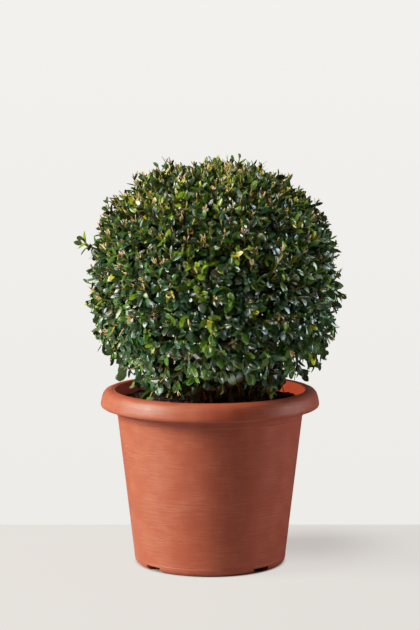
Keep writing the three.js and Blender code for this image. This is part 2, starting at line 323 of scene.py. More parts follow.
def table_top():
    """A matt table top. To the camera, and to nothing else, about half of it is a glow, which is weaker
    beside the pot and fades out at its foot."""
    material = new_material("table_top", TABLE_ROUGHNESS, TABLE_COLOUR)
    tree = material.node_tree
    glow = add_node(tree, "Emission", {"Color": (*TABLE_GLOW, 1)}).outputs[0]
    seen = add_node(tree, "LightPath").outputs["Is Camera Ray"]
    share = product(tree, fading(tree, *FOOT_SHADOW), fading(tree, *POT_SHADOW))
    matt = tree.nodes["Principled BSDF"].outputs[0]
    both = add_node(tree, "MixShader", {"Fac": product(tree, share, seen), 1: matt, 2: glow})
    tree.links.new(both.outputs[0], tree.nodes["Material Output"].inputs["Surface"])
    return material


def build_table():
    """A flat table top at ground level: a rectangle from its front edge to its back edge."""
    mesh = bpy.data.meshes.new("table")
    x, front, back = TABLE_SIDE, TABLE_FRONT_EDGE, TABLE_BACK_EDGE
    mesh.from_pydata([(-x, front, 0), (x, front, 0), (x, back, 0), (-x, back, 0)], [], [(0, 1, 2, 3)])
    mesh.materials.append(table_top())
    table = bpy.data.objects.new("table", mesh)
    bpy.context.scene.collection.objects.link(table)


build_table()
print(f"table: its back edge is {TABLE_BACK_EDGE} m behind the pot's middle")

# %% [markdown]
# ## The lights
#
# A wide soft light on the left does most of the work, and a weak one picks out the right edge. Three more put
# broad glints on the leaves. A photographer keeps such lights off the pot with black flags, and here light
# linking does: they light one collection only. Two white cards light the leaves from below, a warm board
# brightens the pot's shaded side, and a small lamp inside the rim stands for the sun that reaches the inside
# of its right wall. The plastic would mirror that lamp as white dots, so glossy rays don't see it.

# %% Lights
LEAVES_LIT = bpy.data.collections.new("leaves_lit")
POT_LIT = bpy.data.collections.new("pot_lit")
LIGHTS = [
    # name, azimuth, elevation, distance, size, watts, colour, and what it lights, if not everything
    ("key", -75, 26, 3.2, 1.3, 205, (1.0, 0.97, 0.90), None),
    ("rim", 98, 12, 2.2, 0.6, 8, (0.90, 0.96, 1.0), None),
    ("glint_right", 102, 22, 2.4, 1.2, 66, (0.73, 0.88, 1.0), LEAVES_LIT),
    ("glint_top", 66, 58, 2.4, 1.2, 20, (1.0, 0.91, 0.70), LEAVES_LIT),
    ("glint_left", -56, -3, 2.4, 1.5, 3, (0.90, 0.98, 0.92), LEAVES_LIT),
    ("card_left", -44, -30, 0.52, 0.2, 3.5, (1.0, 0.98, 0.90), LEAVES_LIT),
    ("card_right", 30, -28, 0.52, 0.2, 0.6, (0.92, 0.96, 1.0), LEAVES_LIT),
    ("rim_lamp", -98, -13, 0.10, 0.02, 0.56, (1.0, 1.0, 0.90), POT_LIT),
    ("board", 88, 4, 1.6, 1.0, 6.2, (1.0, 0.78, 0.72), POT_LIT),
]

for *values, lit in LIGHTS:
    light = add_light(*values)
    if lit is not None:
        light.light_linking.receiver_collection = lit
        light.visible_camera = False
    if lit == POT_LIT:
        light.light_linking.blocker_collection = lit
bpy.data.objects["rim_lamp"].visible_glossy = False
print(f"{len(LIGHTS)} lights")

# %% [markdown]
# ## Shared surface effects
#
# Two effects come back on several finishes, so each is a node group with its own inputs. Mottling is an
# uneven tone, as in coloured plastic, compost and bark. Streaks are the same noise drawn out in one
# direction: round the pot as scuffs, and up the stem as bark ridges.


# %% Node groups
def new_group(name, **inputs):
    """A shader node group with one output, Mask. Each input is given as its default: a number, or three."""
    group = bpy.data.node_groups.new(name, "ShaderNodeTree")
    for label, default in inputs.items():
        kind = "NodeSocketVector" if isinstance(default, tuple) else "NodeSocketFloat"
        socket = group.interface.new_socket(label.replace("_", " "), in_out="INPUT", socket_type=kind)
        socket.default_value = default
    group.interface.new_socket("Mask", in_out="OUTPUT", socket_type="NodeSocketFloat")
    return group, group.nodes.new("NodeGroupInput").outputs, group.nodes.new("NodeGroupOutput").inputs


def stretched(tree, value, given):
    """A value stretched to run from 0 to 1 between the group's inputs Low and High."""
    limits = {"Value": value, "From Min": given["Low"], "From Max": given["High"]}
    return add_node(tree, "MapRange", limits).outputs["Result"]


def mottling_group():
    """Mask = noise of the object's own coordinates, stretched between two limits to run from 0 to 1."""
    group, given, made = new_group("mottling", Scale=40.0, Low=0.35, High=0.65)
    inputs = {"Vector": add_node(group, "TexCoord").outputs["Object"], "Scale": given["Scale"]}
    noise = add_node(group, "TexNoise", {**inputs, "Detail": 6, "Roughness": 0.6})
    group.links.new(stretched(group, noise.outputs["Fac"], given), made["Mask"])
    return group


def streaks_group():
    """Mask = noise of coordinates that are multiplied by Across, so that it changes fast in one direction
    and slowly in the others. Before that the height is lowered by Outward times the distance from the Z
    axis, so that streaks round the axis show on level faces too. A coarser noise breaks them up."""
    group, given, made = new_group(
        "streaks", Across=(6.0, 6.0, 900.0), Outward=0.0, Break_up=14.0, Low=0.0, High=1.0
    )
    place = add_node(group, "TexCoord").outputs["Object"]
    level = add_node(group, "VectorMath", {0: place, 1: (1, 1, 0)}, operation="MULTIPLY")
    distance = add_node(group, "VectorMath", {0: level.outputs["Vector"]}, operation="LENGTH")
    fall = product(group, distance.outputs["Value"], given["Outward"])
    down = add_node(group, "VectorMath", {0: (0, 0, -1), "Scale": fall}, operation="SCALE")
    lowered = add_node(group, "VectorMath", {0: place, 1: down.outputs["Vector"]}, operation="ADD")
    inputs = {0: lowered.outputs["Vector"], 1: given["Across"]}
    drawn = add_node(group, "VectorMath", inputs, operation="MULTIPLY")
    fine = add_node(group, "TexNoise", {"Vector": drawn.outputs[0], "Scale": 1, "Detail": 5})
    coarse = add_node(group, "TexNoise", {"Vector": place, "Scale": given["Break up"], "Detail": 2})
    both = product(group, fine.outputs["Fac"], coarse.outputs["Fac"])
    group.links.new(stretched(group, both, given), made["Mask"])
    return group


MOTTLING = mottling_group()
STREAKS = streaks_group()


def place_group(tree, group, **values):
    """Puts a node group into a material's tree with its own values, and returns its mask."""
    inputs = {label.replace("_", " "): value for label, value in values.items()}
    return add_node(tree, "Group", inputs, node_tree=group).outputs["Mask"]


def add_bump(tree, height, strength, distance, below=None):
    """A Bump node from a height, on top of another normal if one is given. Returns its normal."""
    inputs = {"Strength": strength, "Distance": distance, "Height": height}
    if below is not None:
        inputs["Normal"] = below
    return add_node(tree, "Bump", inputs).outputs["Normal"]


def feed(material, **sockets):
    """Links outputs to the Principled BSDF's sockets of those names."""
    shader = material.node_tree.nodes["Principled BSDF"]
    for label, output in sockets.items():
        material.node_tree.links.new(output, shader.inputs[label.replace("_", " ")])


print("node groups: mottling, streaks")

# %% [markdown]
# ## Terracotta-coloured plastic
#
# The pot is moulded plastic with a satin skin, and fine pale scuffs run round it in bands, where it has
# been turned and stacked. They are much finer than a mesh could hold, so they are streaks in colour,
# roughness and bump. The skin is a little uneven too, which the mottling gives. Inside the rim the colour
# is painted deeper and redder, up to a set distance from the middle of the pot's mouth: painted bounce
# light, for the orange light that the pot's inner walls throw on each other.

# %% Pot finish
PLASTIC_DARK = (0.46, 0.088, 0.041)
PLASTIC_LIGHT = (0.49, 0.103, 0.049)
PLASTIC_WORN = (0.58, 0.148, 0.078)
# Painted bounce light: a deeper, redder colour inside the rim, for the light the inner walls throw on each
# other
PLASTIC_INSIDE_BOUNCE = (0.49, 0.066, 0.027)
# middle of the mouth, distances between which the painted bounce light ends, and its shares there
BOUNCE_INSIDE_RIM = ((0, 0, 0.285), (0.149, 0.153), (1, 0))
PLAIN_ROUGHNESS, SCUFFED_ROUGHNESS = 0.42, 0.64
# strength, and height in metres
PORE_RELIEF, SCUFF_RELIEF = (0.12, 0.0004), (0.6, 0.0006)


def pot_plastic():
    """Satin plastic in two tones. Streaks round the pot lighten it, roughen it and raise it by a hair. Within
    a distance of the mouth's middle, which is all inside the rim, its colour is painted deeper and redder:
    painted bounce light from the inner walls."""
    material = new_material("pot_plastic", PLAIN_ROUGHNESS, Specular_IOR_Level=0.5)
    tree = material.node_tree
    lines = place_group(tree, STREAKS, Across=(30, 30, 660), Outward=1, Break_up=30, Low=0.18, High=0.50)
    patches = place_group(tree, MOTTLING, Scale=26, Low=0.3, High=0.7)
    pores = place_group(tree, MOTTLING, Scale=900, Low=0.3, High=0.7)
    plain = tone_between(tree, patches, PLASTIC_DARK, PLASTIC_LIGHT)
    faded = tone_between(tree, lines, plain, PLASTIC_WORN)
    # Painted bounce light inside the rim
    colour = tone_between(tree, fading(tree, *BOUNCE_INSIDE_RIM), faded, PLASTIC_INSIDE_BOUNCE)
    limits = {"Value": lines, "To Min": PLAIN_ROUGHNESS, "To Max": SCUFFED_ROUGHNESS}
    roughness = add_node(tree, "MapRange", limits).outputs["Result"]
    normal = add_bump(tree, lines, *SCUFF_RELIEF, add_bump(tree, pores, *PORE_RELIEF))
    feed(material, Base_Color=colour, Roughness=roughness, Normal=normal)
    return material


POT_PLASTIC = pot_plastic()

# %% [markdown]
# ## The pot
#
# A moulded pot is a body of revolution: an outline of radius and height, turned about the Z axis. The
# outline's corners are listed once with their rounding, and a small curve replaces each corner. The foot's
# notches and the drain holes are cut afterwards with one boolean, as a moulder's tool would.

# %% Pot
POT_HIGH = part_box("pot")[1]
LIP_RADIUS = POT_HIGH.x
LIP_CROWN = POT_HIGH.z
FOOT_RADIUS = 0.118
WALL_SLOPE = 0.117
WALL_THICKNESS = 0.0032
FOOT_RING_INNER = 0.103
FLOOR_UNDERSIDE = 0.007
FLOOR_TOP = 0.0104
COLLAR_HEIGHT = 0.234
COLLAR_STEP = 0.0012
LIP_UNDERSIDE = 0.247
LIP_RECESS = 0.251
POT_COLUMNS = 288
NOTCH_TURN = math.radians(42.0)
CREASE_HEIGHT = 0.0115
CREASE_STEP = 0.0003
NOTCH_SIZE = (0.030, 0.027, 0.017)
DRAIN_RADIUS = 0.007
DRAIN_DISTANCE = 0.084
DRAIN_SIDES = 32
POT_SHARP = 38


def wall_radius(height):
    """The outside of the pot's plain wall: a straight taper."""
    return FOOT_RADIUS + WALL_SLOPE * height


def rounded_outline(corners, steps=5):
    """Replaces each corner (radius, height, rounding) by a quadratic curve, which starts and ends a rounding
    away from the corner and has the corner as its elbow."""
    corners = np.array(corners, float)
    at, rounding = corners[:, :2], corners[:, 2:]
    start = at[1:-1] + unit(at[:-2] - at[1:-1]) * rounding[1:-1]
    end = at[1:-1] + unit(at[2:] - at[1:-1]) * rounding[1:-1]
    t = np.linspace(0, 1, steps)[:, None, None]
    curves = bent(start, at[1:-1], end, t)
    return np.vstack([at[:1], curves.transpose(1, 0, 2).reshape(-1, 2), at[-1:]])


def pot_outline():
    """The pot's outline, from the middle of its underside, out and up the wall, over the lip, and down
    the inside to the middle of its floor."""
    inside = wall_radius(0.262) - WALL_THICKNESS
    return rounded_outline(
        [
            (0, FLOOR_UNDERSIDE, 0),
            (FOOT_RING_INNER, FLOOR_UNDERSIDE, 0.0010),
            (FOOT_RING_INNER, 0, 0.0010),
            (wall_radius(0) + CREASE_STEP, 0, 0.0085),
            (wall_radius(CREASE_HEIGHT) + CREASE_STEP, CREASE_HEIGHT, 0.0004),
            (wall_radius(CREASE_HEIGHT), CREASE_HEIGHT + CREASE_STEP, 0.0004),
            (wall_radius(0.12), 0.12, 0.02),
            (wall_radius(COLLAR_HEIGHT), COLLAR_HEIGHT, 0.0006),
            (wall_radius(COLLAR_HEIGHT) + COLLAR_STEP, COLLAR_HEIGHT + COLLAR_STEP, 0.0008),
            (wall_radius(LIP_RECESS) + COLLAR_STEP, LIP_RECESS, 0.0014),
            (0.1620, LIP_RECESS, 0.0010),
            (0.1632, LIP_UNDERSIDE, 0.0014),
            (LIP_RADIUS + 0.0030, LIP_UNDERSIDE - 0.0002, 0.0080),
            (0.1668, LIP_CROWN + 0.0012, 0.0135),
            (0.1538, LIP_CROWN - 0.0002, 0.0012),
            (0.1528, LIP_CROWN - 0.0013, 0.0006),
            (0.1518, LIP_CROWN - 0.0003, 0.0008),
            (0.1488, LIP_CROWN - 0.0006, 0.0013),
            (0.1476, 0.2690, 0.0016),
            (inside, 0.2620, 0.0030),
            (wall_radius(FLOOR_TOP) - WALL_THICKNESS, FLOOR_TOP, 0.0060),
            (0, FLOOR_TOP, 0),
        ]
    )


def turned(outline, columns):
    """Turns an outline (radius, height) about the Z axis: x = r sin a, y = -r cos a, z = height. Its first
    and last points lie on the axis, where a fan closes the surface."""
    angle = np.arange(columns) * 2 * math.pi / columns
    ring = outline[1:-1]
    x = ring[:, :1] * np.sin(angle)
    y = -ring[:, :1] * np.cos(angle)
    z = np.broadcast_to(ring[:, 1:], x.shape)
    points = np.stack([x, y, z], axis=-1).reshape(-1, 3)
    first, last = len(points), len(points) + 1
    points = np.vstack([points, [0, 0, outline[0, 1]], [0, 0, outline[-1, 1]]])
    near = np.arange(columns)
    far = near + (len(ring) - 1) * columns
    bottom = np.stack([np.full(columns, first), np.roll(near, -1), near], axis=1)
    top = np.stack([np.full(columns, last), far, np.roll(far, -1)], axis=1)
    return points, [grid_faces(len(ring), columns, wrap=True), bottom, top]


def foot_cutters():
    """The notches' boxes and the drain holes' drills, four of each, a quarter turn apart, as one mesh."""
    tool = bmesh.new()
    for turn in NOTCH_TURN + np.arange(4) * math.pi / 2:
        spin = Matrix.Rotation(turn, 4, "Z")
        across = Matrix.Translation((0, -(FOOT_RING_INNER + FOOT_RADIUS) / 2, 0))
        size = Matrix.Diagonal((*NOTCH_SIZE, 1))
        bmesh.ops.create_cube(tool, size=1, matrix=spin @ across @ size)
        drill = Matrix.Translation((0, -DRAIN_DISTANCE, FLOOR_TOP))
        bmesh.ops.create_cone(
            tool,
            cap_ends=True,
            segments=DRAIN_SIDES,
            radius1=DRAIN_RADIUS,
            radius2=DRAIN_RADIUS,
            depth=2 * FLOOR_TOP,
            matrix=spin @ drill,
        )
    mesh = bpy.data.meshes.new("foot_cutters")
    tool.to_mesh(mesh)
    tool.free()
    cutters = bpy.data.objects.new("foot_cutters", mesh)
    bpy.context.scene.collection.objects.link(cutters)
    return cutters


def cut_away(piece, cutters):
    """Cuts the cutters out of a piece with a Boolean modifier, applies it, and removes the cutters."""
    cut = piece.modifiers.new("cut", "BOOLEAN")
    cut.object = cutters
    cut.solver = "EXACT"
    bpy.context.view_layer.update()
    evaluated = piece.evaluated_get(bpy.context.evaluated_depsgraph_get())
    mesh = bpy.data.meshes.new_from_object(evaluated)
    piece.modifiers.clear()
    piece.data = mesh
    mesh.shade_smooth()
    mesh.set_sharp_from_angle(angle=math.radians(POT_SHARP))
    bpy.data.objects.remove(cutters)


pot_points, pot_faces = turned(pot_outline(), POT_COLUMNS)
pot = make_piece("pot_body", pot_points, pot_faces, [POT_PLASTIC])
cut_away(pot, foot_cutters())
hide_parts("pot")
POT_LIT.objects.link(pot)
print(f"pot after cutting: {len(pot.data.polygons)} faces")

# %% [markdown]
# ## The growing rule
#
# The plant grows by the same rule as its solid. Directions are spread evenly over a ball by turning a
# golden angle from one to the next. Each level of growth has more of them, and each child starts at the
# end of the parent that points most nearly its own way. Random draws come from one formula of two whole
# numbers, so every run grows the same plant.

# %% Growing rule
BALL_MIDDLE = np.array([0.007, 0, 0.432])
BALL_RADIUS = 0.198
CROWN_HEIGHT = 0.200
SHOULDER_POWER = 2.35
CORE_FLAT = 0.296
WAVE_HEIGHT = 0.0018
WAVE_TURNS = 9
COMPOST_SEAT = 0.262
GOLDEN_TURN = math.pi * (3 - math.sqrt(5))


def seeded(i, k):
    """A number from 0 to 1 for whole numbers i and k: the fraction of
    43758.5453 sin(12.9898 i + 78.233 k + 4.7)."""
    s = np.sin(np.asarray(i) * 12.9898 + k * 78.233 + 4.7) * 43758.5453
    return s - np.floor(s)


def draws(i, k):
    """Three numbers from -0.5 to 0.5 for each i: the draws k, k + 1 and k + 2."""
    return np.stack([seeded(i, k), seeded(i, k + 1), seeded(i, k + 2)], axis=1) - 0.5


def between(limits, share):
    """The number that lies a share of the way from the first limit to the second."""
    return limits[0] + (limits[1] - limits[0]) * share


def spread_directions(n, scatter=0.0, k=0):
    """n directions, evenly over a ball from top to bottom: heights in equal steps, and turns of a golden
    angle. Chance then moves each by up to half of scatter along every axis."""
    i = np.arange(n)
    rise = 1 - (2 * i + 1) / n
    across = np.sqrt(1 - rise**2)
    even = np.stack([across * np.cos(i * GOLDEN_TURN), across * np.sin(i * GOLDEN_TURN), rise], axis=1)
    return unit(even + scatter * draws(i, k + 1))


# Where the form is fuller or was cut deeper: azimuth, elevation, half width in degrees, and height
UNEVEN_PLACES = [
    (90, -31, 10, 0.010),
    (90, 8, 7, -0.012),
    (90, 46, 10, -0.007),
    (90, 63, 5, 0.007),
    (90, 80, 7, 0.011),
    (-90, 86, 4, 0.011),
    (-90, 79, 4, -0.016),
    (-45, 73, 4, -0.012),
    (-135, 73, 4, -0.012),
    (-90, 69, 6, 0.016),
    (-90, 48, 6, -0.004),
    (-90, 36, 8, 0.008),
    (-90, -3, 5, -0.008),
    (-90, -12, 4, 0.008),
    (-90, -42, 8, 0.005),
    (-20, 30, 14, -0.005),
    (150, 25, 16, -0.006),
    (-150, 50, 12, 0.006),
]


# Where the form is open and light comes through: azimuth, its half width, elevation, its half width, and
# the share left out
OPEN_PLACES = [
    (92, 52, -43, 9, 1.0),
    (88, 42, -58, 12, 1.0),
    (-90, 42, -43, 8, 1.0),
    (0, 220, -42, 22, 0.2),
    (21, 15, -50, 8, 0.9),
    (-90, 40, -12, 24, 0.25),
]

# The clefts between clumps: waves along each axis, where they peak, how sharply, and the share left out
CLEFT_WAVES, CLEFT_SHIFTS = (17, 19, 18), (1.0, 2.3, 0.4)
CLEFT_EDGE, CLEFT_BLUR, CLEFT_SHARE = 0.55, 0.15, 0.85


def filled(directions, k):
    """True where something grows: everywhere but for a share of it, by chance, in the open places and in
    the clefts between clumps, where three waves, one along each axis, peak together."""
    turn = np.degrees(np.arctan2(directions[:, 0], -directions[:, 1]))
    rise = np.degrees(np.arcsin(directions[:, 2]))
    peak = np.abs(np.sin(directions * CLEFT_WAVES + CLEFT_SHIFTS).prod(axis=1))
    missing = CLEFT_SHARE * np.clip((peak - CLEFT_EDGE) / CLEFT_BLUR, 0, 1)
    for azimuth, width, elevation, height, share in OPEN_PLACES:
        apart = ((turn - azimuth) / width) ** 4 + ((rise - elevation) / height) ** 4
        missing = np.maximum(missing, share * np.exp(-apart))
    return seeded(np.arange(len(directions)), k) > missing


def form_radius(directions):
    """How far the clipped form reaches: a sphere below and a superellipse with fuller shoulders above,
    with soft waves, and a few places that are fuller or were cut deeper. The waves are WAVE_HEIGHT times
    sin(x + 1.3) sin(1.2 y) + sin(1.4 z + y) cos(0.8 x), with x, y, z the direction times WAVE_TURNS."""
    rise = np.maximum(directions[..., 2], 0) / CROWN_HEIGHT
    across = np.sqrt(np.maximum(1 - np.maximum(directions[..., 2], 0) ** 2, 0)) / BALL_RADIUS
    reach = (across**SHOULDER_POWER + rise**SHOULDER_POWER) ** (-1 / SHOULDER_POWER)
    x, y, z = np.moveaxis(directions * WAVE_TURNS, -1, 0)
    waves = np.sin(x + 1.3) * np.sin(y * 1.2) + np.sin(z * 1.4 + y) * np.cos(x * 0.8)
    for azimuth, elevation, width, height in UNEVEN_PLACES:
        apart = np.degrees(np.arccos(np.clip(directions @ pointing(azimuth, elevation), -1, 1)))
        reach = reach + height * np.exp(-((apart / width) ** 2))
    return reach + WAVE_HEIGHT * waves


print("form reaches", np.round(form_radius(spread_directions(6)), 3))

# %% [markdown]
# ## Stem and boughs
#
# Old box wood is pale, grey-brown and finely ridged. Few would see it under the leaves, but the ball would
# look cut off without it. The stem and its five boughs follow the solids' own curves, and ridges that run
# along them, twisted a little, are real relief in the mesh.

# %% Bark
STEM_RADIUS, STEM_FLARE, STEM_TIP_RADIUS, STEM_LEAN = 0.013, 0.008, 0.010, 0.004
STEM_SUNK, STEM_INTO_BALL, STEM_RINGS, STEM_SIDES = 0.002, 0.020, 40, 72
BOUGHS, BOUGH_RADIUS, BOUGH_TIP_RADIUS, BOUGH_SPREAD, BOUGH_RISE = 5, 0.006, 0.0045, 0.060, 0.013
BOUGH_VARIATION, BOUGH_ELBOW, BOUGH_STEPS, BOUGH_SIDES = 0.15, 0.75, 36, 40
RIDGE_REPEATS, RIDGE_HEIGHT, FURROW_HEIGHT = 6, 0.055, 0.035
BARK_ROUGHNESS = 0.85
FURROW, RIDGE, WORN_BARK = (0.075, 0.050, 0.030), (0.36, 0.27, 0.17), (0.25, 0.20, 0.135)
BARK_RELIEF = (0.5, 0.001)
# A direction that no limb runs along
ASKEW = (0.31, 0.93, 0.17)


def bark_finish():
    """Grey-brown bark: streaks up the limb give darker furrows, and mottling gives paler, worn places."""
    material = new_material("box_bark", BARK_ROUGHNESS)
    tree = material.node_tree
    furrows = place_group(tree, STREAKS, Across=(420, 420, 60), Break_up=90)
    worn = place_group(tree, MOTTLING, Scale=120, Low=0.4, High=0.7)
    colour = tone_between(tree, worn, tone_between(tree, furrows, FURROW, RIDGE), WORN_BARK)
    feed(material, Base_Color=colour, Normal=add_bump(tree, furrows, *BARK_RELIEF))
    return material


def ridges(angle, along, i):
    """Bark relief as a share of the radius: lobes that wind slowly round the limb, and finer furrows."""
    wide = 0.5 * np.sin(5 * angle + 3 * along + i) + 0.3 * np.sin(9 * angle - 5 * along + 2 * i)
    return RIDGE_HEIGHT * wide + FURROW_HEIGHT * np.sin(17 * angle + 7 * np.sin(4 * along) + i)


def rings_round(lines, heading, radius, sides):
    """Rings of points round lines: line + r (side cos a + other sin a), with side and other square to the
    heading, and to each other."""
    side = unit(np.cross(heading, ASKEW))[..., None, :]
    other = np.cross(heading, side[..., 0, :])[..., None, :]
    angle = (np.arange(sides) * 2 * math.pi / sides)[:, None]
    ring = side * np.cos(angle) + other * np.sin(angle)
    return (lines[..., None, :] + radius * ring).reshape(-1, 3)


def ring_faces(rings, sides):
    """Faces of rings of points that follow one another: the wall between them, and a cap on each end."""
    caps = np.stack([np.arange(sides)[::-1], np.arange(sides) + (rings - 1) * sides])
    return grid_faces(rings, sides, wrap=True), caps


def limb_surface(line, radius, sides, i):
    """A closed limb round a line, with rings of radius r(step) (1 + ridges), square to the line."""
    angle = np.arange(sides) * 2 * math.pi / sides
    along = np.linspace(0, RIDGE_REPEATS, len(line))[:, None]
    r = (radius[:, None] * (1 + ridges(angle, along, i)))[..., None]
    heading = unit(np.gradient(line, axis=0))
    return rings_round(line, heading, r, sides), ring_faces(len(line), sides)


def bough_line(i):
    """The source's curve for bough i, from the stem to the underside of the leaves. Chance varies its turn,
    its spread and its height."""
    spread, rise = (1 + BOUGH_VARIATION * (2 * seeded(i, k) - 1) for k in (2, 3))
    turn = 2 * math.pi * (i + BOUGH_VARIATION * seeded(i, 1)) / BOUGHS
    out = np.array([math.cos(turn), math.sin(turn), 0]) * (BOUGH_SPREAD * spread)
    root = np.array([BALL_MIDDLE[0] - STEM_LEAN / 2, 0, COMPOST_SEAT + BOUGH_RISE * rise])
    elbow = root + out * BOUGH_ELBOW + [0, 0, BOUGH_RADIUS]
    tip = root + out
    tip[2] = CORE_FLAT + BOUGH_RADIUS
    return bent(root, elbow, tip, np.linspace(0, 1, BOUGH_STEPS + 1)[:, None])


def build_stem():
    """The stem: radius = taper + flare (1 - share)^4, and a slight lean."""
    share = np.linspace(0, 1, STEM_RINGS)
    radius = STEM_RADIUS + (STEM_TIP_RADIUS - STEM_RADIUS) * share + STEM_FLARE * (1 - share) ** 4
    line = np.zeros((len(share), 3))
    line[:, 0] = BALL_MIDDLE[0] - STEM_LEAN * (1 - share)
    line[:, 2] = COMPOST_SEAT - STEM_SUNK + (CORE_FLAT + STEM_INTO_BALL - COMPOST_SEAT) * share
    points, faces = limb_surface(line, radius, STEM_SIDES, 1)
    stem = make_piece("main_stem_bark", points, faces, [BARK])
    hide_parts("main_stem")


def build_boughs():
    """The five boughs, each a ridged limb on the source's curve."""
    for i in range(BOUGHS):
        line = bough_line(i)
        radius = np.linspace(BOUGH_RADIUS, BOUGH_TIP_RADIUS, len(line))
        points, faces = limb_surface(line, radius, BOUGH_SIDES, i + 2)
        bough = make_piece(f"bough_{i + 1}_bark", points, faces, [BARK])
        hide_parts(f"bough_{i + 1}")


BARK = bark_finish()
build_stem()
build_boughs()

# %% [markdown]
# ## Branches, twigs and shoots
#
# Four levels grow on inside the ball: limbs from the boughs' ends, branches, twigs, and last the leafy
# shoots. A shoot's last stretch turns upwards, towards the light, most of all near the top. Its tip is
# set a leaf's length short of the clipped form, so that the leaves reach the form. Each curve is kept as
# its start, elbow and end, because the leaves need points and headings anywhere along it.

# %% Branches
POT_MOUTH = 0.1448
POT_MOUTH_HEIGHT = 0.275
COMPOST_CLEARANCE = 0.005
WOOD_SCATTER = 0.25
WOOD_LEVELS = [
    # name, how many, share of the form, straightness, steps, sides, root radius, tip radius
    ("limbs", 11, 0.42, 0.50, 8, 8, 0.0044, 0.0032),
    ("branches", 44, 0.66, 0.40, 6, 6, 0.0028, 0.0018),
    ("twigs", 340, 0.83, 0.35, 5, 5, 0.0014, 0.0009),
]


def above_compost(points):
    """True where points are clear of the compost, and low ones of the pot's wall as well."""
    height = points[..., 2]
    inside = np.linalg.norm(points[..., :2], axis=-1) < POT_MOUTH
    return (height > COMPOST_SEAT + COMPOST_CLEARANCE) & (inside | (height > POT_MOUTH_HEIGHT))


def along_curve(curve, t):
    """Points and headings of curves, given as (start, elbow, end), at t: one row of t for each curve, or one
    for all. The heading is (1-t) (elbow - start) + t (end - elbow), at length one."""
    start, elbow, end = (c[:, None] for c in curve)
    t = np.broadcast_to(t, (len(curve[0]), np.shape(t)[-1]))[..., None]
    return bent(start, elbow, end, t), unit((1 - t) * (elbow - start) + t * (end - elbow))


def nearest_parent(parents, directions):
    """For each direction, the parent that lies most nearly that way from the ball's middle."""
    return (directions @ unit(parents - BALL_MIDDLE).T).argmax(axis=1)


def tubes(curve, steps, sides, root_radius, tip_radius):
    """Closed tubes round many curves at once, whose radius goes evenly from root to tip."""
    rings = steps + 1
    lines, heading = along_curve(curve, np.linspace(0, 1, rings))
    radius = np.linspace(root_radius, tip_radius, rings)[:, None, None]
    faces = [repeated(f, len(lines), rings * sides) for f in ring_faces(rings, sides)]
    return rings_round(lines, heading, radius, sides), faces


def joined(parts):
    """Several (points, faces) as one, with each part's point numbers moved on past the parts before it."""
    starts = np.cumsum([0] + [len(points) for points, _ in parts[:-1]])
    faces = [f + start for start, (_, part_faces) in zip(starts, parts) for f in part_faces]
    return np.vstack([points for points, _ in parts]), faces


def grow_wood():
    """Limbs, branches and twigs. Returns the twigs' curves and the tubes of every level."""
    tips = np.stack([bough_line(i)[-1] for i in range(BOUGHS)])
    headings = np.tile([0.0, 0.0, 1.0], (BOUGHS, 1))
    parts = []
    for level, (name, n, share, straight, steps, sides, root_radius, tip_radius) in enumerate(WOOD_LEVELS):
        directions = spread_directions(n, WOOD_SCATTER, 10 * level)
        ends = BALL_MIDDLE + directions * (form_radius(directions) * share)[:, None]
        directions, ends = directions[above_compost(ends)], ends[above_compost(ends)]
        own = nearest_parent(tips, directions)
        reach = np.linalg.norm(ends - tips[own], axis=1, keepdims=True)
        curve = (tips[own], tips[own] + headings[own] * reach * straight, ends)
        parts.append(tubes(curve, steps, sides, root_radius, tip_radius))
        tips, headings = ends, along_curve(curve, np.ones(1))[1][:, 0]
        print(f"{name}: {len(ends)}")
    return curve, parts


twig_curve, wood_parts = grow_wood()

# %% [markdown]
# The shoots are where the shears went. Most end just inside the form, and some were left out by a hand's
# slip or have grown since: those are listed by where they stand, because most of them show in the outline.

# %% Shoots
SHOOTS = 3100
SHOOT_SHARE = (0.850, 0.975)
SHOOT_LENGTH = (0.026, 0.044)
SHOOT_LIFT = (-0.15, 0.95)
SHOOT_WANDER = 0.55
CLIP_UNEVENNESS = 0.007
SHOOT_SCATTER = 0.10
REACH_CROWDING = 0.6
LEAF_PAST_TIP = 0.6
# Heights of directions of length one: where the shade is deepest, and how far above it light is full
DARKEST, LIGHT_SPAN = -0.55, 1.5
STRAYS = [
    # azimuth, elevation, how far it stands out
    (-90, 19, 0.030),
    (-86, 21, 0.026),
    (-31, -38, 0.030),
    (92, -3, 0.010),
    (-90, 70.5, 0.000),
    (-80, 75, 0.004),
    (90, 61, 0.006),
    (178, 8, 0.004),
    (4, 12, 0.005),
    (128, 40, 0.006),
    (-41, -40, 0.012),
    (-48, -50, 0.016),
    (-62, -47, 0.010),
    (-80, -42, 0.008),
    (-95, -34, 0.006),
    (-90, 8, 0.006),
    (-90, -8, 0.006),
    (-88, 54, 0.006),
    (-90, 28, 0.006),
    (88, 20, 0.006),
    (90, 40, 0.005),
    (90, -18, 0.008),
    (92, -36, 0.006),
    (88, -44, 0.004),
    (-92, -40, 0.000),
    (-94, -16, 0.004),
    (-86, -20, 0.006),
]


def lightness_of_place(outward):
    """0 in the shade under the ball, 1 at its crown."""
    return np.clip((outward[:, 2] - DARKEST) / LIGHT_SPAN, 0, 1)


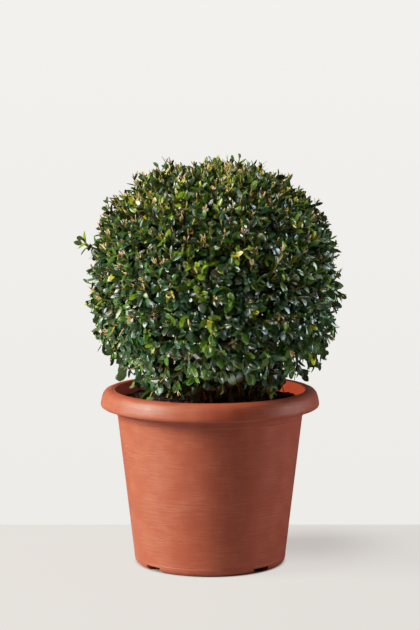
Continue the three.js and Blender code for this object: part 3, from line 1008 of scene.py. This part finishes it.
def grow_shoots():
    """The leafy shoots as a dict of arrays. Each tip lies a share of the way out to the form, a stray's
    past it, and its axis is outward + lift up + wander. The elbow lies back along that axis."""
    plain = spread_directions(SHOOTS, SHOOT_SCATTER, 40)
    reach = form_radius(plain) * between(SHOOT_SHARE, seeded(np.arange(SHOOTS), 51) ** REACH_CROWDING)
    azimuth, elevation, beyond = np.array(STRAYS).T
    strays = pointing(azimuth, elevation)
    outward = np.vstack([plain, strays])
    reach = np.concatenate([reach, form_radius(strays) + beyond - LEAF_LENGTH[1] * LEAF_PAST_TIP])
    i = np.arange(len(outward))
    uneven = CLIP_UNEVENNESS * (2 * seeded(i, 50) - 1)
    beyond = np.concatenate([np.zeros(SHOOTS), beyond]) + uneven
    end = BALL_MIDDLE + outward * (reach + uneven)[:, None]
    lift = between(SHOOT_LIFT, lightness_of_place(outward))
    axis = unit(outward + lift[:, None] * [0, 0, 1] + 2 * SHOOT_WANDER * draws(i, 52))
    length = between(SHOOT_LENGTH, seeded(i, 55))
    start = twig_curve[2][nearest_parent(twig_curve[2], outward)]
    elbow = end - axis * length[:, None]
    clear = above_compost(end) & above_compost(elbow) & (filled(outward, 56) | (i >= SHOOTS))
    shoots = {"start": start, "elbow": elbow, "end": end, "outward": outward, "beyond": beyond}
    return {name: values[clear] for name, values in shoots.items()}


# %% [markdown]
# ## Leaves
#
# A box leaf is a small oval blade with a groove along its midrib, domed halves and edges that turn down. Its
# upper face is dark and waxy, and its underside is pale. Each leaf is a closed mesh of 48 triangles, or
# 24 deep inside the ball, worked out for all leaves at once: rows along the leaf, columns across it.
#
# The leaves stand in opposite pairs, each a quarter turn from the pair below it. Those at a shoot's end
# stand closer to the stem than the old ones. Shears cut what reaches past the form, so such a leaf is
# shortened, and dropped where little of it would be left.

# %% Leaf blades
# In the shade, and at the crown
LEAF_LENGTH = (0.0208, 0.0158)
LEAF_THICKNESS = 0.0005
# Rows as shares of the length, and columns from edge to edge
FINE_LEAF = ([0.09, 0.36, 0.70, 0.94], [-1, -0.5, 0, 0.5, 1])
PLAIN_LEAF = ([0.15, 0.55, 0.91], [-1, 0, 1])


def leaf_points(leaves, rows, columns):
    """Points of closed leaves: the upper grid, the keel under the midrib, the two ends. u runs along the leaf
    and v across it. Half the width is w(u) = width / 2 * sin(pi u^0.9)^0.54. Across the leaf the height is
    w (groove |v| - cup v^2), and along it the blade bends down by droop u^2."""
    u, v = np.array(rows)[:, None], np.array(columns)
    length, width, groove, cup, droop = (
        leaves[name][:, None, None] for name in ("length", "width", "groove", "cup", "droop")
    )
    forward = leaves["along"][:, None, None]
    upward = leaves["normal"][:, None, None]
    sideways = np.cross(upward, forward)

    def at(u, across, up):
        rise = up - droop * length * u**2
        steps = (length * u)[..., None] * forward + across[..., None] * sideways + rise[..., None] * upward
        return leaves["root"][:, None, None] + steps

    half = width / 2 * np.sin(math.pi * u**0.9) ** 0.54
    none = np.zeros_like(half)
    top = at(u, half * v, half * (groove * np.abs(v) - cup * v**2))
    keel = at(u, none, none - LEAF_THICKNESS)
    ends = at(np.array([[0.0], [1.0]]), none[:, :2], none[:, :2])
    parts = [part.reshape(len(length), -1, 3) for part in (top, keel, ends)]
    return np.concatenate(parts, axis=1).reshape(-1, 3)


def leaf_faces(rows, columns):
    """One leaf's faces: the upper side's quads and end triangles, then the underside's, edge to keel."""
    r, c = len(rows), len(columns)
    top = np.arange(r * c).reshape(r, c)
    keel = r * c + np.arange(r)
    root, tip = r * c + r, r * c + r + 1
    left, right = top[:, 0], top[:, -1]

    def strip(a, b):
        return np.stack([a[:-1], b[:-1], b[1:], a[1:]], axis=1)

    def fan(point, a, b):
        return np.stack(np.broadcast_arrays(point, a, b), axis=-1).reshape(-1, 3)

    upper = grid_faces(r, c)[:, ::-1]
    upper_ends = [fan(root, top[0, :-1], top[0, 1:]), fan(tip, top[-1, 1:], top[-1, :-1])]
    under = [strip(left, keel), strip(keel, right)]
    under_ends = [fan(root, keel[0], left[0]), fan(root, right[0], keel[0])]
    under_ends += [fan(tip, left[-1], keel[-1]), fan(tip, keel[-1], right[-1])]
    return upper, np.vstack(upper_ends), np.vstack(under), np.vstack(under_ends)


print("a fine leaf has", sum((f.shape[1] - 2) * len(f) for f in leaf_faces(*FINE_LEAF)), "triangles")

# %% Leaves on the shoots
OPENING = np.radians([30, 46, 60])
PAIR_SPACING = 0.0100
SHOOT_PAIRS = 3
TWIG_PAIRS = 3
END_GAP, PAIR_UNEVENNESS = 0.001, 0.3
SIDE_TURN, OPENING_UNEVENNESS, OPENING_IN_SHADE = 0.5, 0.35, 0.22
HANG, LEAST_HANG, HANG_SPREAD = 0.9, 0.3, 0.7
TOWARDS_LIGHT, TOWARDS_LIGHT_IN_SHADE, FACE_TILT = 0.14, 0.75, 1.1
LIGHT_OUTWARDS, LIGHT_FROM_ABOVE = (1, 1, 0.4), (0, 0, 0.5)
YOUNG_LENGTH, LEAST_LENGTH, LENGTH_SPREAD = 0.72, 0.8, 0.4
LEAF_TRAITS = {
    # name: least, what chance adds, what shade adds, and the draw
    "width": (0.43, 0.14, 0.14, 69),
    "groove": (0.34, 0.30, 0, 70),
    "cup": (0.28, 0.50, 0, 71),
    "droop": (0, 0.22, 0.10, 72),
}
LEAST_ALONG = 0.05
# Primes that keep the draws of one set of leaves apart from another's
SET_STEP, SIDE_STEP = 7919, 104729
FALLEN_LEAVES = np.array([0.22, 0.60, 0.70])
SPRIG_REACH = 0.020
SHORTEST_CUT_LEAF = 0.5
CLIP_SCATTER = 0.004
LEAST_STEEPNESS = 0.35


def pick(leaves, which):
    """The leaves for which `which` is true."""
    return {name: values[which] for name, values in leaves.items()}


def pair_leaves(curve, outward, beyond, pairs, k):
    """Opposite pairs of leaves, spaced back from the end of each curve. A leaf opens by an angle a from the
    heading h towards a side e: it runs along h cos a + e sin a, and its upper face looks along
    h sin a - e cos a. Weight then pulls low leaves down, and light turns every leaf's face outwards. In the
    shade low on the ball many have dropped off: FALLEN_LEAVES gives the share for each pair from the end.
    A sprig that stands out of the ball by SPRIG_REACH has light all round and keeps its leaves."""
    count = len(outward)
    i = (np.arange(count * pairs * 2) + SET_STEP * k).reshape(count, pairs, 2)
    speed = 2 * np.linalg.norm(curve[2] - curve[1], axis=1, keepdims=True)
    back = END_GAP + PAIR_SPACING * (np.arange(pairs) + PAIR_UNEVENNESS * seeded(i[..., 0], 60))
    root, heading = along_curve(curve, np.clip(1 - back / speed, LEAST_ALONG, 1))
    crown = lightness_of_place(outward)[:, None, None]
    shade = 1 - crown

    aside = draws(np.arange(count) + SIDE_STEP * k, 61)
    side = unit(np.cross(heading, aside[:, None]))
    other = np.cross(heading, side)
    even = (np.arange(pairs) % 2 == 0)[:, None]
    first, second = np.where(even, side, other), np.where(even, other, side)
    sign = np.array([1.0, -1.0])[:, None]
    turn = (SIDE_TURN * (seeded(i, 64) - 0.5))[..., None]
    outwards = unit(first[:, :, None] * sign + second[:, :, None] * turn)

    a = OPENING[:pairs][:, None] + OPENING_UNEVENNESS * (seeded(i, 65) - 0.5)
    a = (a + OPENING_IN_SHADE * (shade - 0.5))[..., None]
    along = heading[:, :, None] * np.cos(a) + outwards * np.sin(a)
    normal = heading[:, :, None] * np.sin(a) - outwards * np.cos(a)
    hang = HANG * shade * (LEAST_HANG + HANG_SPREAD * seeded(i, 66))
    along = unit(along - hang[..., None] * [0, 0, 1])
    light = outward[:, None, None] * LIGHT_OUTWARDS + LIGHT_FROM_ABOVE
    tilt = (FACE_TILT * (seeded(i, 67) - 0.5))[..., None] * np.cross(along, normal)
    normal = normal + (TOWARDS_LIGHT + TOWARDS_LIGHT_IN_SHADE * shade[..., None] ** 2) * light + tilt
    normal = unit(normal - (normal * along).sum(axis=-1, keepdims=True) * along)

    young = np.where(np.arange(pairs) == 0, YOUNG_LENGTH, 1.0)[:, None]
    length = (LEAF_LENGTH[0] * shade + LEAF_LENGTH[1] * crown) * young
    length = length * (LEAST_LENGTH + LENGTH_SPREAD * seeded(i, 68))
    traits = {
        name: least + by_chance * seeded(i, draw) + in_shade * shade
        for name, (least, by_chance, in_shade, draw) in LEAF_TRAITS.items()
    }
    leaves = {
        "root": np.broadcast_to(root[:, :, None], along.shape),
        "along": along,
        "normal": normal,
        "outward": np.broadcast_to(outward[:, None, None], along.shape),
    }
    plain = {
        **traits,
        "length": length,
        "width": length * traits["width"],
        "beyond": beyond[:, None, None],
        "shoot": np.arange(count)[:, None, None],
        "pair": np.arange(pairs)[:, None],
        "chance": seeded(i, 73),
    }
    leaves = {name: values.reshape(-1, 3) for name, values in leaves.items()}
    leaves.update({name: np.broadcast_to(values, i.shape).reshape(-1) for name, values in plain.items()})
    shaded = shade * (beyond < SPRIG_REACH)[:, None, None]
    still_there = seeded(i, 74) > FALLEN_LEAVES[:pairs, None] * shaded
    return clipped(pick(leaves, still_there.reshape(-1)))


def clipped(leaves):
    """Shortens leaves whose tips reach past the form. Drops those of which too little would be left, and
    those whose middle or tip would touch the compost or the pot."""
    tip = leaves["root"] + leaves["along"] * leaves["length"][:, None] - BALL_MIDDLE
    outward = unit(tip)
    reach = form_radius(outward) + leaves["beyond"] + CLIP_SCATTER * (2 * leaves["chance"] - 1)
    past = np.maximum(np.linalg.norm(tip, axis=1) - reach, 0)
    steep = np.maximum((leaves["along"] * outward).sum(axis=1), LEAST_STEEPNESS)
    length = leaves["length"] - past / steep
    kept = length > SHORTEST_CUT_LEAF * leaves["length"]
    leaves = pick({**leaves, "length": length}, kept)
    middle = leaves["root"] + leaves["along"] * leaves["length"][:, None] / 2
    end = leaves["root"] + leaves["along"] * leaves["length"][:, None]
    return pick(leaves, above_compost(middle) & above_compost(end))


shoots = grow_shoots()
shoot_curve = (shoots["start"], shoots["elbow"], shoots["end"])
shoot_leaves = pair_leaves(shoot_curve, shoots["outward"], shoots["beyond"], SHOOT_PAIRS, 1)
twig_outward = unit(twig_curve[2] - BALL_MIDDLE)
leafy = filled(twig_outward, 57)
leafy_curve = tuple(c[leafy] for c in twig_curve)
twig_leaves = pair_leaves(leafy_curve, twig_outward[leafy], np.zeros(leafy.sum()), TWIG_PAIRS, 2)
print(f"{len(shoots['end'])} shoots, {len(shoot_leaves['length'])} leaves on them")
print(f"{len(twig_leaves['length'])} leaves inside the ball")

# %% [markdown]
# ## Leaf colours
#
# Box keeps its leaves for years. Old ones are a deep, cool green under a waxy skin, the year's growth is
# fresh, and the last pair at a shoot's end may still be yellow. Such colours have a place, so each is a
# plain material, and a chance that depends on the height deals them out, shoot by shoot. The deep and cool
# greens come more often low down, in the ball's shade: partly real old growth, partly painted shade.

# %% Leaf colours
# The deep and cool greens are dealt more often low down: partly real old growth, partly painted shade
LEAF_TONES = [
    # name, linear colour, share low down, share at the crown
    ("leaf_deep", (0.013, 0.035, 0.005), 0.38, 0.20),
    ("leaf_cool", (0.018, 0.070, 0.024), 0.35, 0.18),
    ("leaf_green", (0.047, 0.118, 0.007), 0.23, 0.30),
    ("leaf_dead", (0.085, 0.045, 0.020), 0.01, 0.01),
    ("leaf_fresh", (0.150, 0.250, 0.008), 0.02, 0.31),
    ("leaf_young", (0.480, 0.440, 0.018), 0.00, 0.16),
]
UNDERSIDE = (0.085, 0.138, 0.038)
LEAF_ROUGHNESS, UNDERSIDE_ROUGHNESS = 0.42, 0.55
WAX = {"Specular_IOR_Level": 0.12, "Coat_Weight": 1, "Coat_Roughness": 0.31, "Coat_IOR": 1.5}
OTHER_TONE_SHARE, OTHER_TONE_STEP = 0.2, 977
FRESH_RISE = 2.0
DEAD_INSIDE, DEAD_TONE = 0.40, 3
MOST_TRIANGLES, LEAF_SHARP = 190000, 32


def deal(tones, height, chance):
    """Which row of a table of tones each thing gets: the first whose summed share passes its chance. The
    shares go from the row's third value to its fourth with the height."""
    low, high = np.array([row[2:] for row in tones]).T
    shares = low + height[:, None] * (high - low)
    summed = np.cumsum(shares, axis=1) / shares.sum(axis=1, keepdims=True)
    return (chance[:, None] > summed).sum(axis=1)


def tone_of(leaves, k):
    """The tone of each leaf: its shoot's, but for one leaf in five, which gets another. Only the pair at a
    shoot's end can be young. Older leaves of such a shoot are fresh."""
    own = np.where(leaves["chance"] < OTHER_TONE_SHARE, OTHER_TONE_STEP * leaves["chance"], leaves["shoot"])
    height = lightness_of_place(leaves["outward"]) ** FRESH_RISE
    # Darker greens low down, in the ball's shade: partly painted shade
    tone = deal(LEAF_TONES, height, seeded(own, 80 + k))
    return np.where(leaves["pair"] > 0, np.minimum(tone, len(LEAF_TONES) - 2), tone)


def make_leaves(name, leaves, tones, shape, materials):
    """Leaves as pieces of at most MOST_TRIANGLES each. The last material is the underside's."""
    faces = leaf_faces(*shape)
    points_each = len(shape[0]) * (len(shape[1]) + 1) + 2
    triangles_each = sum((f.shape[1] - 2) * len(f) for f in faces)
    parts = math.ceil(len(tones) * triangles_each / MOST_TRIANGLES)
    made = []
    for number, which in enumerate(np.array_split(np.arange(len(tones)), parts), start=1):
        points = leaf_points(pick(leaves, which), *shape)
        count = len(which)
        dealt = [np.repeat(tones[which], len(f)) for f in faces[:2]]
        dealt += [np.full(count * len(f), len(materials) - 1) for f in faces[2:]]
        all_faces = [repeated(f, count, points_each) for f in faces]
        piece = make_piece(f"{name}_{number}", points, all_faces, materials, dealt, LEAF_SHARP)
        LEAVES_LIT.objects.link(piece)
        made.append(piece)
    return made


LEAF_MATERIALS = toned_materials(LEAF_TONES, LEAF_ROUGHNESS, **WAX)
LEAF_MATERIALS.append(new_material("leaf_underside", UNDERSIDE_ROUGHNESS, UNDERSIDE))
outer_tones = tone_of(shoot_leaves, 1)
outer_leaves = make_leaves("leaves_outer", shoot_leaves, outer_tones, FINE_LEAF, LEAF_MATERIALS)
inner_tones = np.where(seeded(twig_leaves["shoot"], 88) < DEAD_INSIDE, DEAD_TONE, tone_of(twig_leaves, 2))
make_leaves("leaves_inner", twig_leaves, inner_tones, PLAIN_LEAF, LEAF_MATERIALS)
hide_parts("foliage_ball")

# %% [markdown]
# ## Twigs and what the shears left
#
# The wood inside is brown, the twigs are tan, and the last of each shoot is green. Where shears cut a shoot,
# its stub and the halves of leaves beside it dry out and turn the colour of straw: that is the tan
# speckle over the top of the ball, where it is clipped most.

# %% Twigs and cut tips
WOOD_TONES = [
    ("twig_brown", (0.085, 0.052, 0.028)),
    ("twig_tan", (0.42, 0.29, 0.11)),
    ("twig_green", (0.42, 0.38, 0.045)),
]
DRY_TONES = [
    # name, linear colour, share low down, share at the crown
    ("dry_brown", (0.20, 0.10, 0.05), 0.15, 0.12),
    ("dry_straw", (0.84, 0.64, 0.28), 0.45, 0.48),
    ("dry_tan", (0.66, 0.44, 0.21), 0.40, 0.40),
]
STUB_TONES = [
    ("stub_yellow", (0.56, 0.46, 0.060)),
    ("stub_tan", (0.57, 0.42, 0.17)),
    ("stub_brown", (0.28, 0.12, 0.06)),
]
WOOD_ROUGHNESS, DRY_ROUGHNESS, WOOD_SHARP = 0.6, 0.75, 60
SHOOT_STEPS, SHOOT_SIDES, SHOOT_RADII = 6, 4, (0.0013, 0.0011)
BROWN_RINGS, GREEN_FROM_RING, SHARE_NOT_GREEN = 2, 4, 0.35
# Chances low down and at the crown
STUB_CHANCE, CUT_CHANCE, CUT_RISE = (0.05, 0.36), (0.04, 0.27), 1.6
STUBS_EACH, STUB_FROM, STUB_LENGTH, STUB_SPREAD = 2, 0.94, (0.004, 0.015), 0.55
STUB_STEPS, STUB_RADII, STUB_LOWER_RINGS = 3, (0.0010, 0.0007), 2
STUB_YELLOW_SHARE, STUB_BROWN_SHARE = 0.5, 0.3
TIPS_EACH, TIP_SPREAD = 3, 0.9
# Least, and what chance adds
SLIVER_LENGTH, SLIVER_WIDTH = (0.009, 0.007), (0.0028, 0.0020)
SLIVER_GROOVE, SLIVER_CUP, SLIVER_DROOP = 0.6, 0.1, 0.3


def ring_tones(wall):
    """Tones dealt to tubes: a row of wall for each tube, with one for each ring. All ends get tone 1."""
    return [np.repeat(wall.ravel(), SHOOT_SIDES), np.full(2 * len(wall), 1)]


def make_twigs():
    """The wood of all levels as one piece, and the shoots' stems as another. A stem's first rings are
    brown, and its last two green or tan."""
    materials = toned_materials(WOOD_TONES, WOOD_ROUGHNESS)
    points, faces = joined(wood_parts)
    last = len(wood_parts) - 1
    level_of = np.repeat(np.arange(len(wood_parts)), 2)
    dealt = [np.full(len(f), 1 if level == last else 0) for level, f in zip(level_of, faces)]
    make_piece("branches_and_twigs", points, faces, materials, dealt, WOOD_SHARP)
    points, faces = tubes(shoot_curve, SHOOT_STEPS, SHOOT_SIDES, *SHOOT_RADII)
    chance = seeded(np.arange(len(shoot_curve[0])), 90)[:, None]
    ring = np.arange(SHOOT_STEPS)
    green = (ring >= GREEN_FROM_RING) & (chance > SHARE_NOT_GREEN)
    wall = np.where(ring < BROWN_RINGS, 0, np.where(green, 2, 1))
    make_piece("shoot_stems", points, faces, materials, ring_tones(wall), WOOD_SHARP)


def cut_shoots(draw, chances, height, t, copies):
    """For each shoot that chance picks as cut, a few copies of its point at t, its heading, its place and how
    far it stands out, and a number of its own for each copy."""
    i = np.arange(len(height))
    cut = seeded(i, draw) < between(chances, height)
    points, headings = along_curve(tuple(c[cut] for c in shoot_curve), np.array([t]))
    found = (points[:, 0], headings[:, 0], shoots["outward"][cut], shoots["beyond"][cut])
    own = (i[cut, None] * copies + np.arange(copies)).ravel()
    return own, *(np.repeat(values, copies, axis=0) for values in found)


def make_stubs():
    """Bare ends of cut shoots, two to a shoot in a narrow fork, which reach to the form. Each is yellow or
    tan, and tan or brown at its tip."""
    height = lightness_of_place(shoots["outward"])
    i, root, heading, outward, _ = cut_shoots(103, STUB_CHANCE, height, STUB_FROM, STUBS_EACH)
    left = form_radius(outward) - np.linalg.norm(root - BALL_MIDDLE, axis=1)
    length = np.clip(left, *STUB_LENGTH)[:, None]
    end = root + (unit(heading + outward) + STUB_SPREAD * draws(i, 104)) * length
    clear = above_compost(end)
    curve = tuple(c[clear] for c in (root, root + heading * length / 2, end))
    points, faces = tubes(curve, STUB_STEPS, SHOOT_SIDES, *STUB_RADII)
    chance = seeded(i[clear], 107)[:, None]
    lower = np.where(chance < STUB_YELLOW_SHARE, 0, 1)
    tip = np.where(chance < STUB_BROWN_SHARE, 2, 1)
    wall = np.where(np.arange(STUB_STEPS) < STUB_LOWER_RINGS, lower, tip)
    materials = toned_materials(STUB_TONES, WOOD_ROUGHNESS)
    make_piece("cut_stubs", points, faces, materials, ring_tones(wall), WOOD_SHARP)


def make_cut_tips():
    """Three dry slivers at the end of each cut shoot: folded leaf halves, which stand up to the form."""
    height = lightness_of_place(shoots["outward"]) ** CUT_RISE
    i, root, heading, outward, beyond = cut_shoots(91, CUT_CHANCE, height, 1.0, TIPS_EACH)
    along = unit(heading + TIP_SPREAD * draws(i, 92))
    slivers = {
        "root": root,
        "along": along,
        "normal": unit(np.cross(np.cross(along, unit(draws(i, 95))), along)),
        "outward": outward,
        "length": SLIVER_LENGTH[0] + SLIVER_LENGTH[1] * seeded(i, 98),
        "width": SLIVER_WIDTH[0] + SLIVER_WIDTH[1] * seeded(i, 99),
        "groove": np.full(len(i), SLIVER_GROOVE),
        "cup": np.full(len(i), SLIVER_CUP),
        "droop": SLIVER_DROOP * (seeded(i, 100) - 0.5),
        "beyond": beyond,
        "chance": seeded(i, 101),
    }
    slivers = clipped(slivers)
    tones = deal(DRY_TONES, lightness_of_place(slivers["outward"]), slivers["chance"])
    materials = toned_materials(DRY_TONES, DRY_ROUGHNESS)
    make_leaves("cut_tips", slivers, tones, PLAIN_LEAF, materials)


make_twigs()
make_stubs()
make_cut_tips()

# %% [markdown]
# ## Compost
#
# Potting compost is dark peat with crumbs, and pieces of bark that show reddish where they are broken. The
# bed is a closed mound with waves of several sizes for lumps. Crumbs and chips are one small ball of
# twenty faces, stretched and dented differently for each, and laid along a spiral that covers a disc evenly.

# %% Compost
BED_EDGE = 0.256
BED_UNDERSIDE = 0.0107
BED_GAP = 0.0035
BED_RADIUS = wall_radius(BED_EDGE) - BED_GAP
SEAT_RADIUS = 0.027
BED_RINGS = 90
BED_COLUMNS = 200
# How far in and how far down the bed's rounded edge goes
BED_BEVEL = (0.0005, 0.001)
LUMP_WAVES, LONGEST_LUMP, LUMP_RATIO, LUMP_POWER, LUMP_HEIGHT = 12, 0.030, 0.80, 0.75, 0.012
COMPOST_ROUGHNESS, COMPOST_RELIEF, GRAIN_FINENESS = 0.95, (0.6, 0.0015), 6
COMPOST_LOOKS = {
    # name: dark tone, light tone, scale of its mottling
    "peat": ((0.010, 0.006, 0.004), (0.040, 0.022, 0.013), 160),
    "peat_crumb": ((0.022, 0.012, 0.007), (0.075, 0.042, 0.024), 300),
    "bark_chip": ((0.090, 0.032, 0.016), (0.300, 0.125, 0.065), 220),
}
CRUMBS, CRUMB_SIZE, DARK_CRUMBS, CRUMB_FACES = 2600, (0.0021, 0.0016, 0.0012), 0.6, 20
CHIPS, CHIP_SIZE = 300, (0.0068, 0.0026, 0.0012)
CRUMBS_FROM_EDGE, CHIPS_FROM_EDGE = 0.004, 0.006
SPIRAL_SCATTER, LIE_TILT, CRUMB_RISE = 0.7, 0.25, 0.35
CRUMB_STRETCH, CRUMB_DENTS = (0.5, 1.5), (0.75, 1.25)
NEARLY_UP = (0.13, 0.21, 1.0)


def lumps(x, y):
    """Unevenness of the bed: waves in many directions, each shorter than the last and less high. A wave is
    LUMP_HEIGHT length^LUMP_POWER sin(2 pi across / length + its number)."""
    height = np.zeros_like(x)
    for wave in range(LUMP_WAVES):
        turn = wave * GOLDEN_TURN
        length = LONGEST_LUMP * LUMP_RATIO**wave
        across = x * math.cos(turn) + y * math.sin(turn)
        height += LUMP_HEIGHT * length**LUMP_POWER * np.sin(across * 2 * math.pi / length + wave)
    return height


def bed_height(x, y):
    """The mound: from the edge up to the stem's foot with the square of the distance covered, and lumps."""
    share = np.clip((BED_RADIUS - np.hypot(x, y)) / (BED_RADIUS - SEAT_RADIUS), 0, 1)
    return BED_EDGE + (COMPOST_SEAT - BED_EDGE) * share**2 + lumps(x, y)


def compost_finish(name, dark, light, scale):
    """Crumbly matter: mottling gives its tone, and a finer one its relief."""
    material = new_material(name, COMPOST_ROUGHNESS)
    tree = material.node_tree
    patches = place_group(tree, MOTTLING, Scale=scale, Low=0.35, High=0.68)
    grains = place_group(tree, MOTTLING, Scale=scale * GRAIN_FINENESS, Low=0.3, High=0.7)
    normal = add_bump(tree, grains, *COMPOST_RELIEF)
    feed(material, Base_Color=tone_between(tree, patches, dark, light), Normal=normal)
    return material


def crumb_template():
    """The points and faces of a ball of twenty triangles."""
    ball = bmesh.new()
    bmesh.ops.create_icosphere(ball, subdivisions=1, radius=1)
    points = np.array([v.co[:] for v in ball.verts])
    faces = np.array([[v.index for v in f.verts] for f in ball.faces])
    ball.free()
    return points, faces


def scattered(count, reach, size, k):
    """Crumbs over the bed, along a spiral of golden turns: each a dented ball, stretched in its own three
    directions by size = (long, wide, thick), which vary by half. About a third of it is in the bed."""
    ball, faces = crumb_template()
    i = np.arange(count)
    r = reach * np.sqrt((i + 0.5) / count)
    turn = i * GOLDEN_TURN + SPIRAL_SCATTER * seeded(i, k)
    x, y = r * np.cos(turn), r * np.sin(turn)
    first = unit(draws(i, k + 1) * [1, 1, LIE_TILT])
    second = unit(np.cross(first, NEARLY_UP))
    axes = np.stack([first, second, np.cross(first, second)], axis=1)
    stretch = np.array(size) * between(CRUMB_STRETCH, seeded(i[:, None], k + 4 + np.arange(3)))
    own = i[:, None] * len(ball) + np.arange(len(ball))
    dents = between(CRUMB_DENTS, seeded(own, k + 8))
    place = np.stack([x, y, bed_height(x, y) + stretch[:, 2] * CRUMB_RISE], axis=1)
    local = ball * dents[..., None] * stretch[:, None]
    return (place[:, None] + local @ axes).reshape(-1, 3), repeated(faces, count, len(ball))


def build_compost():
    """The bed as a turned body whose upper side is lifted to the mound, and crumbs and chips on it."""
    rings = np.linspace(BED_RADIUS - BED_BEVEL[0], 0, BED_RINGS)
    upper = np.stack([rings, np.full(BED_RINGS, BED_EDGE)], axis=1)
    foot = wall_radius(BED_UNDERSIDE) - BED_GAP
    under = [(0, BED_UNDERSIDE), (foot, BED_UNDERSIDE), (BED_RADIUS, BED_EDGE - BED_BEVEL[1])]
    points, faces = turned(np.vstack([under, upper]), BED_COLUMNS)
    top = points[:, 2] >= BED_EDGE
    points[top, 2] = bed_height(points[top, 0], points[top, 1])
    peat, brown, chip = (compost_finish(name, *look) for name, look in COMPOST_LOOKS.items())
    bed = make_piece("compost_bed", points, faces, [peat], sharp=70)
    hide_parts("compost")
    reach = BED_RADIUS - CRUMBS_FROM_EDGE
    points, faces = scattered(CRUMBS, reach, CRUMB_SIZE, 200)
    dealt = [(seeded(np.arange(len(faces)) // CRUMB_FACES, 210) > DARK_CRUMBS).astype(int)]
    make_piece("compost_crumbs", points, [faces], [peat, brown], dealt, sharp=50)
    points, faces = scattered(CHIPS, reach - CHIPS_FROM_EDGE, CHIP_SIZE, 220)
    make_piece("bark_chips", points, [faces], [chip], sharp=50)


build_compost()
